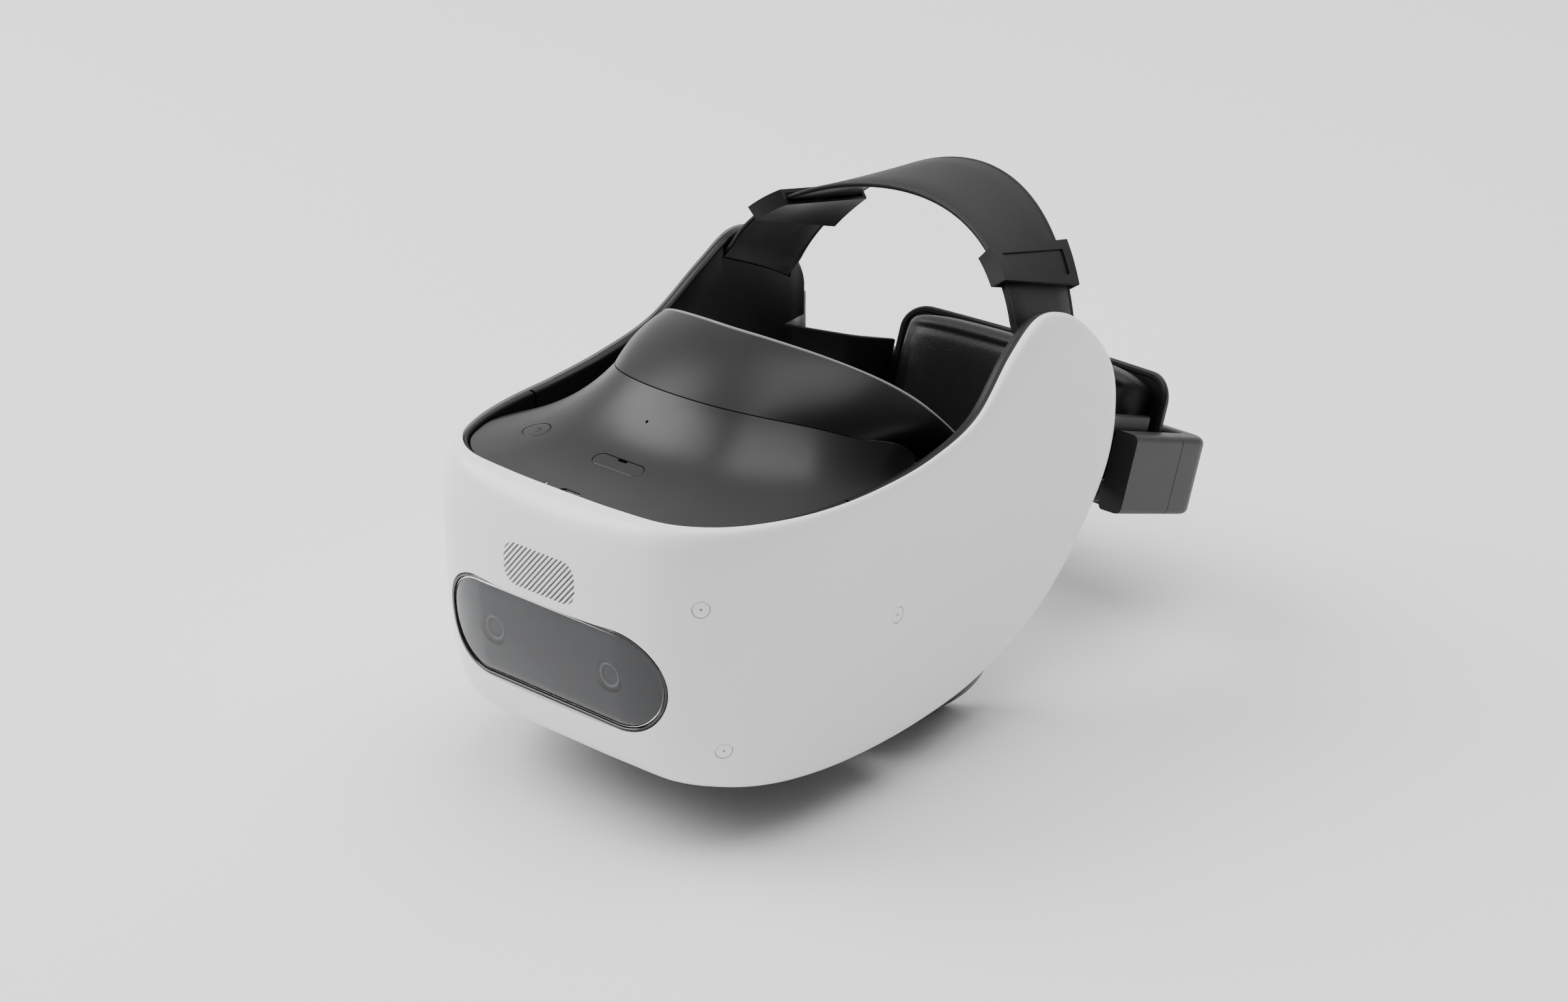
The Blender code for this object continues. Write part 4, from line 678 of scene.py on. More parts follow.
class GeometryTool:
    """A Geometry Nodes tree with named inputs, applied to an object as a plain mesh."""

    def __init__(self, name: str, inputs: dict) -> None:
        """Make the tree and its sockets.

        Args:
            name: the tree's name.
            inputs: socket name to (socket type, value).
        """
        self.tree = bpy.data.node_groups.new(name, "GeometryNodeTree")
        self.graph = Graph(self.tree)
        self.tree.interface.new_socket(name="Geometry", in_out="INPUT", socket_type="NodeSocketGeometry")
        self.tree.interface.new_socket(name="Geometry", in_out="OUTPUT", socket_type="NodeSocketGeometry")
        self.values: dict[str, object] = {}
        for label, (kind, value) in inputs.items():
            socket = self.tree.interface.new_socket(name=label, in_out="INPUT", socket_type=kind)
            self.values[socket.identifier] = value
        self.source = self.graph.add("NodeGroupInput")
        self.sink = self.graph.add("NodeGroupOutput")

    def close(self, geometry: bpy.types.NodeSocket) -> None:
        """End the tree in Realize Instances and Set Material."""
        real = self.graph.add("GeometryNodeRealizeInstances", {0: geometry})
        painted = self.graph.add("GeometryNodeSetMaterial", {"Geometry": real.outputs[0],
                                                             "Material": self.source.outputs["Material"]})
        self.tree.links.new(painted.outputs[0], self.sink.inputs[0])

    def run(self, name: str) -> bpy.types.Object:
        """Apply the tree to a new object and return it with a plain mesh."""
        item = bpy.data.objects.new(name, bpy.data.meshes.new(name))
        bpy.context.scene.collection.objects.link(item)
        modifier = item.modifiers.new(name, "NODES")
        modifier.node_group = self.tree
        for identifier, value in self.values.items():
            modifier[identifier] = value
        return flatten(item)


def slot_rows(count: int, pitch: float, length: float, width: float, depth: float, angle: float,
              centre: np.ndarray, material: bpy.types.Material) -> bpy.types.Object:
    """Row of slanted bars that cut a vent; sizes in mm, centre in the row frame."""
    step = pitch / math.sin(math.radians(angle)) * MM
    tool = GeometryTool("vent slots", {
        "Count": ("NodeSocketInt", count), "Step": ("NodeSocketFloat", step),
        "Size": ("NodeSocketVector", (length * MM, depth * MM, width * MM)),
        "Turn": ("NodeSocketVector", (0.0, -math.radians(angle), 0.0)),
        "Start": ("NodeSocketVector", tuple(centre - np.array((step * (count - 1) / 2, 0.0, 0.0)))),
        "Material": ("NodeSocketMaterial", material)})
    graph = tool.graph
    offset = graph.add("ShaderNodeCombineXYZ", {"X": tool.source.outputs["Step"]})
    line = graph.add("GeometryNodeMeshLine", {"Count": tool.source.outputs["Count"],
                                              "Start Location": tool.source.outputs["Start"],
                                              "Offset": offset.outputs[0]})
    bar = graph.add("GeometryNodeMeshCube", {"Size": tool.source.outputs["Size"]})
    spread = graph.add("GeometryNodeInstanceOnPoints", {"Points": line.outputs[0], "Instance": bar.outputs[0],
                                                        "Rotation": tool.source.outputs["Turn"]})
    tool.close(spread.outputs[0])
    return tool.run("vent_bars")


# ---------------------------------------------------------------- front body

@dataclass
class ShellForm:
    """Curves of the wrap-round shell; the rest of the front body follows them."""

    stations: tuple = (
        (0.0, -148.0, 52.0, -60.0, 15.0, 25.0, 22.0),
        (30.0, -146.8, 52.3, -60.3, 14.0, 24.0, 22.0),
        (56.0, -141.0, 52.8, -61.2, 11.0, 20.0, 20.0),
        (74.0, -126.0, 52.3, -62.6, 8.5, 16.0, 16.0),
        (85.0, -104.0, 50.8, -65.4, 7.0, 13.0, 12.0),
        (91.0, -77.0, 49.3, -67.4, 5.5, 11.0, 8.0),
        (93.5, -46.0, 48.8, -68.5, 5.0, 10.0, 5.0),
        (94.5, -15.0, 51.0, -67.5, 5.0, 9.0, 5.0),
        (94.5, 15.0, 58.0, -64.5, 6.0, 8.5, 8.0),
        (94.0, 42.0, 76.0, -57.0, 9.0, 8.0, 14.0),
        (93.3, 62.0, 86.0, -49.0, 9.5, 7.5, 20.0),
        (92.5, 82.0, 82.0, -35.0, 9.0, 7.0, 24.0),
        (91.8, 98.0, 70.5, -17.0, 7.5, 6.0, 26.0),
        (90.8, 109.0, 58.5, -1.0, 5.5, 4.5, 27.0),
        (88.8, 115.5, 48.0, 12.0, 4.0, 3.5, 28.0),
        (85.8, 118.0, 40.0, 20.0, 3.0, 3.0, 30.0),
    )
    wall: float = 2.4
    roll_top: float = 2.6
    roll_bottom: float = 2.8
    liner_thin: float = 1.6
    liner_thick: float = 4.6

    def frame_at(self, u: float) -> tuple[np.ndarray, np.ndarray, np.ndarray]:
        """Point, outward plan normal and heights at u, -1 to 1 along the shell."""
        side = 1.0 if u >= 0 else -1.0
        row = catmull(self.stations, abs(u))
        step = 0.002
        delta = catmull(self.stations, min(abs(u) + step, 1.0)) - catmull(self.stations, max(abs(u) - step, 0.0))
        dx, dy = (1.0, 0.0) if abs(u) < step else delta[:2]
        size = math.hypot(dx, dy)
        return np.array((side * row[0], row[1])), np.array((side * dy / size, -dx / size)), row[2:]

    def section(self, u: float, shares: np.ndarray, inset: float = 0.0) -> np.ndarray:
        """Points of the rolled section: share 0 is the top edge and 1 the bottom edge."""
        point, normal, (top, bottom, roll_top, roll_bottom, belly) = self.frame_at(u)
        points = []
        for share in shares:
            angle = math.pi * share
            rise = math.cos(angle)
            upper = share <= 0.5
            power = 2 / (self.roll_top if upper else self.roll_bottom)
            roll = roll_top if upper else roll_bottom
            height = (top - belly if upper else belly - bottom) - inset
            z = belly + math.copysign(height * abs(rise) ** power, 1.0 if upper else -1.0)
            out = -inset - max(roll - inset, 0.2) * (1 - max(math.sin(angle), 0.0) ** power)
            points.append((*(point + normal * out), z))
        return np.array(points)

    def grid(self, inset: float, along: int, across: int) -> np.ndarray:
        """Section points at one inset over the whole shell."""
        shares = np.linspace(0.0, 1.0, across + 1)
        return np.array([self.section(2 * i / along - 1, shares, inset) for i in range(along + 1)])

    def inner_edge(self, u: float, extra: float, height: float) -> np.ndarray:
        """Point inside the rolled edges: height 0 is the top and 1 the bottom."""
        point, normal, (top, bottom, roll_top, roll_bottom, _) = self.frame_at(u)
        roll = roll_top * (1 - height) + roll_bottom * height
        return np.array((*(point - normal * (roll + extra)), top * (1 - height) + bottom * height))

    def liner_wall(self, u: float) -> float:
        """Thickness of the black liner."""
        return self.liner_thin + (self.liner_thick - self.liner_thin) * smooth_step(0.12, 0.45, abs(u))


@dataclass
class HoodForm:
    """Light hood between the deck's seam and the rim that meets the face."""

    belly_z: float = HEAD.belly_z
    wall: float = 2.6
    bulge: float = 2.0
    cheek_bulge: float = 7.0

    @cached_property
    def seam(self) -> tuple:
        """Front edge of the hood, from the top middle to the bottom middle."""
        z = self.belly_z
        return ((0.0, -70.0, 72.0), (20.0, -67.5, 71.2), (38.0, -60.0, 69.0), (53.0, -46.0, 64.0),
                (64.0, -30.0, 57.0), (70.0, -12.0, 50.0), (72.5, 0.0, 38.0), (73.5, 6.0, 22.0),
                (73.5, 8.0, 5.0), (73.0, 6.0, -15.0), (71.0, 2.0, -36.0), (69.0, -1.0, -51.0),
                (63.0, -9.0, z + 1.5), (51.0, -19.0, z), (41.0, -27.0, z), (31.0, -32.5, z),
                (21.0, -36.5, z), (10.5, -38.5, z), (0.0, -39.0, z))

    @cached_property
    def rim(self) -> tuple:
        """Edge that carries the face cushion, in the same order."""
        return ((0.0, -33.0, 88.5), (20.0, -31.0, 87.6), (40.0, -24.0, 83.5), (56.0, -13.0, 76.0),
                (66.0, -2.0, 67.0), (72.0, 8.0, 57.0), (75.0, 20.0, 44.0), (76.5, 33.0, 28.0),
                (77.0, 43.0, 8.0), (76.5, 50.0, -15.0), (75.0, 55.0, -38.0), (74.0, 54.0, -59.0),
                (71.5, 48.5, -77.0), (65.0, 39.5, -88.5), (54.0, 33.5, -92.5), (41.0, 30.0, -88.0),
                (28.0, 26.5, -75.5), (14.5, 22.5, -60.0), (0.0, 19.5, -51.5))

    @staticmethod
    def loop(rows: tuple, v: float) -> np.ndarray:
        """Point of a symmetric loop: v 0 is the top middle and 1 the bottom middle."""
        x, y, z = catmull(rows, abs(v), closed=True)
        return np.array((x if v >= 0 else -x, y, z))

    def point(self, v: float, s: float, inset: float = 0.0) -> np.ndarray:
        """Point of the hood: s 0 is the seam and 1 the rim; inset goes into the hood."""
        base = self.loop(self.seam, v) * (1 - s) + self.loop(self.rim, v) * s
        away = base - np.array((0.0, base[1], -2.0))
        away[1] = 0.0
        away /= np.linalg.norm(away)
        if abs(v) > 0.78:
            blend = smooth_step(0.78, 0.9, abs(v))
            down = np.array((0.0, -0.5, -1.0))
            away = away * (1 - blend) + down / np.linalg.norm(down) * blend
            away /= np.linalg.norm(away)
        cheek = smooth_step(0.56, 0.68, abs(v)) * (1 - smooth_step(0.78, 0.92, abs(v)))
        bulge = self.bulge + self.cheek_bulge * cheek
        return base + away * (bulge * 4 * s * (1 - s) - inset)


@dataclass
class Shell:
    """White shell with its visor window, vent and tracking sensors."""

    form: ShellForm = field(default_factory=ShellForm)
    along: int = 260
    across: int = 64
    visor_half: float = 57.0
    visor_radius: float = 21.0
    visor_z: float = -14.0
    bezel: float = 1.3
    glass_wall: float = 2.2
    glass_inset: float = 0.7
    camera_x: float = 31.0
    camera_window: float = 6.4
    vent_z: float = 22.0
    vent_half: tuple = (19.0, 9.2)
    vent_corner: float = 6.5
    vent_slots: int = 17
    vent_pitch: float = 1.75
    vent_slot: float = 0.85
    vent_angle: float = 49.0
    sensor_places: tuple = ((0.180, 0.475), (0.410, 0.525), (0.205, 0.720))
    sensor_radius: float = 3.4
    front: Drape | None = None

    def build(self) -> None:
        """Make every piece of the shell."""
        shell = slab("outer_shell_skin", self.form.grid(0.0, self.along, self.across),
                     self.form.grid(self.form.wall, self.along, self.across))
        self.front = Drape(shell, (0.0, 1.0, 0.0))
        window = stadium(self.visor_half + self.bezel + 0.4, self.visor_radius + self.bezel + 0.4, (0.0, self.visor_z))
        combine(shell, prism("window", window, "y", -170.0, -125.0), "DIFFERENCE")
        combine(shell, self.vent_cutter(), "DIFFERENCE")
        for side in (1, -1):
            for place in self.sensor_places:
                combine(shell, self.sensor("hole", side, place, self.sensor_radius + 0.22, -6.0, 6.0), "DIFFERENCE")
        dress(shell, SHELL_WHITE, "outer_shell")
        for side, label in ((1, "left"), (-1, "right")):
            for number, place in enumerate(self.sensor_places, 1):
                sensor = self.sensor(f"sensor_{label}_{number}_face", side, place, self.sensor_radius, 0.05, 5.0)
                dress(sensor, SHELL_WHITE, f"sensor_{label}_{number}")
        self.build_visor()

    def vent_cutter(self) -> bpy.types.Object:
        """Slanted bars trimmed to the rounded vent patch."""
        centre = HEAD.place(np.array((0.0, -147.0, self.vent_z)))
        bars = slot_rows(self.vent_slots + 8, self.vent_pitch, 46.0, self.vent_slot, 14.0, self.vent_angle, centre,
                         SHOP.material(SHELL_WHITE))
        patch = rounded(*self.vent_half, self.vent_corner, (0.0, self.vent_z))
        return combine(bars, prism("patch", patch, "y", -160.0, -140.0), "INTERSECT")

    def sensor(self, name: str, side: int, place: tuple, radius: float, top: float, depth: float) -> bpy.types.Object:
        """Round plug that follows the shell at one place.

        Args:
            name: the object's name.
            side: 1 for the wearer's left.
            place: shares along the shell and round its section.
            radius: its radius in mm.
            top: how far its face lies under the skin, or above it if negative.
            depth: how deep it goes.

        Returns:
            The plug; a plug whose face is under the skin gets its pinhole.
        """
        u, share = side * place[0], place[1]
        spots = self.form.section(u, np.array((share - 0.01, share, share + 0.01)))
        along = self.form.section(u + 0.004, np.array((share,)))[0] - self.form.section(u - 0.004, np.array((share,)))[0]
        normal = np.cross(along, spots[2] - spots[0])
        normal /= np.linalg.norm(normal)
        if normal[0] * spots[1][0] + normal[1] * (spots[1][1] + 20) < 0:
            normal = -normal
        first = along / np.linalg.norm(along)
        second = np.cross(normal, first)
        if top < 0:
            profile = [(radius, depth), (radius, top)]
        else:
            profile = [(0.1, depth), (radius, depth), (radius, 0.5), (radius - 0.05, 0.2), (radius - 0.2, 0.06),
                       (radius - 0.5, 0.0), (1.4, 0.0), (0.75, 0.0), (0.62, 0.05), (0.55, 0.2), (0.55, 2.0), (0.1, 2.0)]
        rings = []
        for r, level in profile:
            ring = []
            for a, b in circle(r, count=48):
                spot = spots[1] + first * a + second * b
                if top >= 0:
                    spot = self.front.land(spot, -normal)
                ring.append(spot - normal * (level + max(top, 0.0)))
            rings.append(ring)
        return loft(name, rings)

    def draped_ring(self, inset: float, depth: float) -> np.ndarray:
        """Ring of the visor's outline, moved inward by inset and back by depth."""
        outline = stadium(self.visor_half - inset, self.visor_radius - inset, (0.0, self.visor_z))
        return np.array([self.front.land((x, -140.0, z)) + (0.0, depth, 0.0) for x, z in outline])

    def build_visor(self) -> None:
        """Tinted glass, its back paint with two camera windows, the bezel and the cameras."""
        wall = self.glass_wall
        edge = 0.7
        turns = [(edge * (1 - math.sin(a)), edge * (1 - math.cos(a))) for a in np.linspace(0.0, math.pi / 2, 7)]
        inner = [self.visor_radius * f for f in (0.08, 0.2, 0.4, 0.6, 0.8, 0.97)]
        profile = [(d, wall) for d in reversed(inner)] + [(0.3, wall), (0.0, wall - 0.3)]
        profile += [(i, d) for d, i in reversed(turns)] + [(d, 0.0) for d in inner]
        glass = loft("visor_glass_pane", [self.draped_ring(d, self.glass_inset + t) for d, t in profile])
        dress(glass, VISOR_TINT, "visor_glass")

        back = self.glass_inset + wall + 0.08
        rings = [(inner[-1], 0.5), (0.6, 0.5), (0.6, 0.0), (inner[0], 0.0), (inner[2], 0.0), (inner[4], 0.0),
                 (inner[-1], 0.0)]
        paint = loft("visor_back_paint", [self.draped_ring(d, back + t) for d, t in rings])
        for side in (1, -1):
            hole = prism("hole", circle(self.camera_window, (side * self.camera_x, self.visor_z), 48), "y", -160.0, -130.0)
            combine(paint, hole, "DIFFERENCE")
        dress(paint, VISOR_PAINT, body="headset")

        gap = 0.2
        far = self.bezel
        ring = round_loop(((gap, 2.0), (gap, 0.55), (gap + 0.25, 0.2), (far - 0.35, 0.1), (far, 0.45), (far, 3.4),
                           (gap, 3.4)), 1)
        bezel = loft("visor_bezel_ring", [self.draped_ring(-d, t) for d, t in ring], ring_closed=True)
        dress(bezel, GLOSS_BLACK, "visor_bezel")
        for side, label in ((1, "left"), (-1, "right")):
            self.build_camera(side, label, back + 0.9)

    def build_camera(self, side: int, label: str, back: float) -> None:
        """Camera barrel with stepped rings and a domed front lens."""
        x = side * self.camera_x
        front = self.front.land((x, -140.0, self.visor_z))[1] + back
        steps = ((0.1, 12.4), (6.2, 12.4), (6.2, 4.2), (7.4, 4.2), (7.4, 0.2), (7.2, 0.0), (5.5, 0.0), (5.3, 0.25),
                 (5.2, 1.5), (4.3, 1.7), (4.2, 0.9), (3.7, 0.8), (3.55, 1.0), (3.5, 2.4), (0.1, 2.6))
        barrel = loft(f"camera_{label}_barrel", [[(x + a, front + t, self.visor_z + b) for a, b in circle(r, count=56)]
                                                 for r, t in steps])
        dress(barrel, SATIN_BLACK, f"camera_{label}")
        ring = ((4.3, 0.62), (5.1, 0.62), (5.15, 0.75), (5.1, 1.2), (4.4, 1.2), (4.25, 0.8))
        trim = loft(f"camera_{label}_ring", [[(x + a, front + t, self.visor_z + b) for a, b in circle(r, count=56)]
                                             for r, t in ring], ring_closed=True)
        dress(trim, STEEL, body=BODY_OF[f"camera_{label}"])
        dome = [(0.05, 2.3), (3.4, 2.3), (3.4, 1.7)]
        dome += [(3.4 * math.cos(a), 1.7 - 1.2 * math.sin(a)) for a in np.linspace(0.15, 1.53, 9)]
        lens = loft(f"camera_{label}_lens", [[(x + a, front + t, self.visor_z + b) for a, b in circle(r, count=56)]
                                             for r, t in dome])
        dress(lens, LENS_COATED, body=BODY_OF[f"camera_{label}"])


LENS_COATED = Finish("coated camera lens", "visor_black", (0.010, 0.012, 0.022), 0.04, Grain.MOULDED, 1.0, 0.0002,
                     coat=1.0, coat_roughness=0.02)


@dataclass
class Deck:
    """Top deck with its button, card door, lamp and socket."""

    shell: ShellForm
    hood: HoodForm
    wall: float = 2.2
    reach: float = 0.475
    seam_share: float = 0.31
    flare: float = 3.2
    power: tuple = (-49.0, -97.0)
    power_radius: float = 5.75
    card: tuple = (0.0, -101.5)
    card_half: float = 12.7
    card_radius: float = 3.5
    mic: tuple = (-4.0, -80.0)
    usb: tuple = (0.0, -129.6)
    usb_half: tuple = (5.22, 2.38)
    lamp_x: float = -13.0
    top: Drape | None = None

    def section(self, v: float, shares: np.ndarray) -> np.ndarray:
        """Points from the liner (share 0) to the hood's seam (share 1)."""
        u = v * self.reach
        heights = self.shell.frame_at(u)[2]
        sink = 2.2 + 12.0 * smooth_step(0.55, 1.0, abs(v))
        extra = GAP + self.shell.liner_wall(u) + 2.4 * GAP
        start = self.shell.inner_edge(u, extra, sink / (heights[0] - heights[1]))
        end = self.hood.loop(self.hood.seam, v * self.seam_share)
        points = start + (end - start) * shares[:, None]
        points[:, 2] = start[2] + (end[2] - start[2]) * shares ** self.flare
        return points

    def grid(self, drop: float, along: int = 168, across: int = 44) -> np.ndarray:
        """Deck points over the whole deck, lowered by drop."""
        shares = np.linspace(0.0, 1.0, across + 1)
        rows = np.array([self.section(2 * i / along - 1, shares) for i in range(along + 1)])
        rows[:, :, 2] -= drop
        return rows

    def cap(self, name: str, rings: Callable, radius: float, drop: float = 0.0) -> bpy.types.Object:
        """Lid that follows the deck inside an outline, with a rounded edge.

        Args:
            name: the object's name.
            rings: gives the outline moved inward by a distance.
            radius: half the outline's width.
            drop: how far the lid lies under the deck.

        Returns:
            The lid.
        """
        edge = 0.35
        turns = [(edge * (1 - math.cos(a)), edge * (1 - math.sin(a))) for a in np.linspace(0.0, math.pi / 2, 6)]
        profile = [(radius * 0.96, self.wall), (0.2, self.wall), (0.0, self.wall - 0.2)]
        profile += turns + [(radius * f, 0.0) for f in (0.25, 0.5, 0.75, 0.96)]
        made = []
        for inset, depth in profile:
            spots = [self.top.land((x, y, 60.0)) for x, y in rings(inset)]
            made.append([spot - (0.0, 0.0, depth + drop) for spot in spots])
        return loft(name, made)

    def build(self) -> None:
        """Make the deck and what is set into it."""
        deck = slab("deck_cover_skin", self.grid(0.0), self.grid(self.wall))
        self.top = Drape(deck, (0.0, 0.0, -1.0))
        cuts = (circle(self.power_radius + 0.25, self.power), circle(0.62, self.mic, 24),
                stadium(self.card_half + 0.22, self.card_radius + 0.22, self.card),
                stadium(self.usb_half[0], self.usb_half[1], self.usb),
                circle(0.75, (self.lamp_x, self.usb[1] + 1.0), 24))
        for outline in cuts:
            combine(deck, prism("hole", outline, "z", 25.0, 85.0), "DIFFERENCE")
        dress(deck, DECK_GREY, "deck_cover")

        button = self.cap("power_button_cap", lambda d: circle(self.power_radius - d, self.power), self.power_radius)
        level = self.top.land((*self.power, 60.0))[2]
        stem = prism("stem", circle(2.0, self.power, 32), "z", level - 6.5, level - 1.0)
        combine(button, stem, "UNION")
        combine(button, self.power_mark(level), "DIFFERENCE")
        dress(button, DECK_GREY, "power_button")

        door = self.cap("card_door_lid",
                        lambda d: stadium(self.card_half - d, self.card_radius - d, self.card), self.card_radius)
        nail = stadium(2.4, 0.75, (self.card[0], self.card[1] + self.card_radius - 0.75), 12)
        combine(door, prism("nail", nail, "z", 30.0, 80.0), "DIFFERENCE")
        dress(door, DECK_GREY, "card_door")

    def power_mark(self, level: float) -> bpy.types.Object:
        """Shallow open-ring mark."""
        outer, inner = 1.9, 1.6
        arc = [(r, a) for r, turn in ((outer, 1), (inner, -1))
               for a in np.linspace(0.5, 2 * math.pi - 0.5, 24)[::turn]]
        outline = np.array([(self.power[0] + r * math.sin(a), self.power[1] - r * math.cos(a)) for r, a in arc])
        return prism("mark", outline, "z", level - 0.14, level + 4.0)


@dataclass
class Liner:
    """Black liner inside the white shell, in one front piece and two wing pieces."""

    shell: ShellForm
    drop: float = 0.8
    share: float = 0.36
    depth: float = 15.0
    end: float = 0.955
    step: tuple = (0.735, 0.785)
    band_top: float = 30.26
    usb: tuple = (0.0, -129.6)

    def section(self, u: float, high: float) -> np.ndarray:
        """Rounded section from the top down to a share of the shell's height."""
        wall = self.shell.liner_wall(u)
        crown = ((GAP, -0.9), (GAP + 0.12, -0.35), (GAP + 0.5, 0.0), (GAP + wall * 0.35, 0.22),
                 (GAP + wall * 0.6, 0.22), (GAP + wall - 0.65, -0.05), (GAP + wall - 0.25, -0.5), (GAP + wall, -1.4))
        points = []
        for extra, lift in crown:
            points.append(self.shell.inner_edge(u, extra, 0.0) + (0.0, 0.0, lift - self.drop))
        steps = np.linspace(0.0, 1.0, 9)[1:]
        for k in steps:
            points.append(self.shell.inner_edge(u, GAP + wall, high * k) + (0.0, 0.0, 0.9 if k == 1.0 else 0.0))
        for k in steps[::-1]:
            points.append(self.shell.inner_edge(u, GAP, high * k) + (0.0, 0.0, 0.9 if k == 1.0 else 0.0))
        return np.array(points)

    def wing_depth(self, u: float) -> float:
        """Share of the shell's height that the wing covers: all of it, then only above the side band."""
        top, bottom = self.shell.frame_at(u)[2][:2]
        above = (top - self.band_top) / (top - bottom)
        return 1.0 + (above - 1.0) * smooth_step(*self.step, abs(u))

    def build(self, strap: "Strap") -> None:
        """Make the three pieces, with the strap's slots and the socket's hole."""
        rings = []
        for u in np.linspace(-self.share, self.share, 121):
            heights = self.shell.frame_at(u)[2]
            rings.append(self.section(u, self.depth / (heights[0] - heights[1])))
        liner = loft("front_liner_band", rings)
        combine(liner, prism("hole", stadium(5.22, 2.38, self.usb), "z", 30.0, 70.0), "DIFFERENCE")
        dress(liner, SATIN_BLACK, "front_liner")
        for side, label in ((1, "left"), (-1, "right")):
            spots = side * np.linspace(self.share + 0.003, self.end, 111)
            wing = loft(f"wing_liner_{label}_band", [self.section(u, self.wing_depth(u)) for u in spots])
            low, high = sorted((side * 68.0, side * 92.0))
            combine(wing, strap.solid("slot", low, high, strap.width / 2 + 0.6, -strap.wall / 2 - 0.5,
                                      strap.wall / 2 + 0.5, 14), "DIFFERENCE")
            dress(wing, SATIN_BLACK, f"wing_liner_{label}")


@dataclass
class Hood:
    """Light-tight hood and the foam cushion on its rim."""

    form: HoodForm
    around: int = 300
    steps: int = 20
    rise: float = 2.4
    width: float = 9.0

    def build(self) -> None:
        """Make the hood and its cushion."""
        turns = [2 * i / self.around - 1 for i in range(self.around)]
        shares = [0.012 + 0.988 * j / self.steps for j in range(self.steps + 1)]
        outer = np.array([[self.form.point(v, s) for s in shares] for v in turns])
        inner = np.array([[self.form.point(v, s, self.form.wall) for s in shares] for v in turns])
        dress(slab("hood_skin", outer, inner, wrap=True), HOOD_BLACK, "hood")

        wall = self.form.wall
        profile = round_loop(((0.4, 0.1), (1.6, 0.0), (self.rise, 1.2), (self.rise + 0.5, 4.0), (self.rise - 0.4, 7.0),
                              (-1.5, self.width), (-6.5, self.width), (-8.0, 6.8), (-7.0, wall + 1.4),
                              (0.4, wall + 0.9)), 3)
        rings = []
        for v in turns:
            rim = self.form.point(v, 1.0)
            back = rim - self.form.point(v, 0.9)
            back /= np.linalg.norm(back)
            inward = self.form.point(v, 1.0, 1.0) - rim
            inward /= np.linalg.norm(inward)
            rings.append([rim + back * along + inward * into for along, into in profile])
        cushion = loft("face_cushion_foam", rings, ring_closed=True, sharp=60.0)
        dress(cushion, FOAM_GREY, "face_cushion")


# ---------------------------------------------------------------- strap

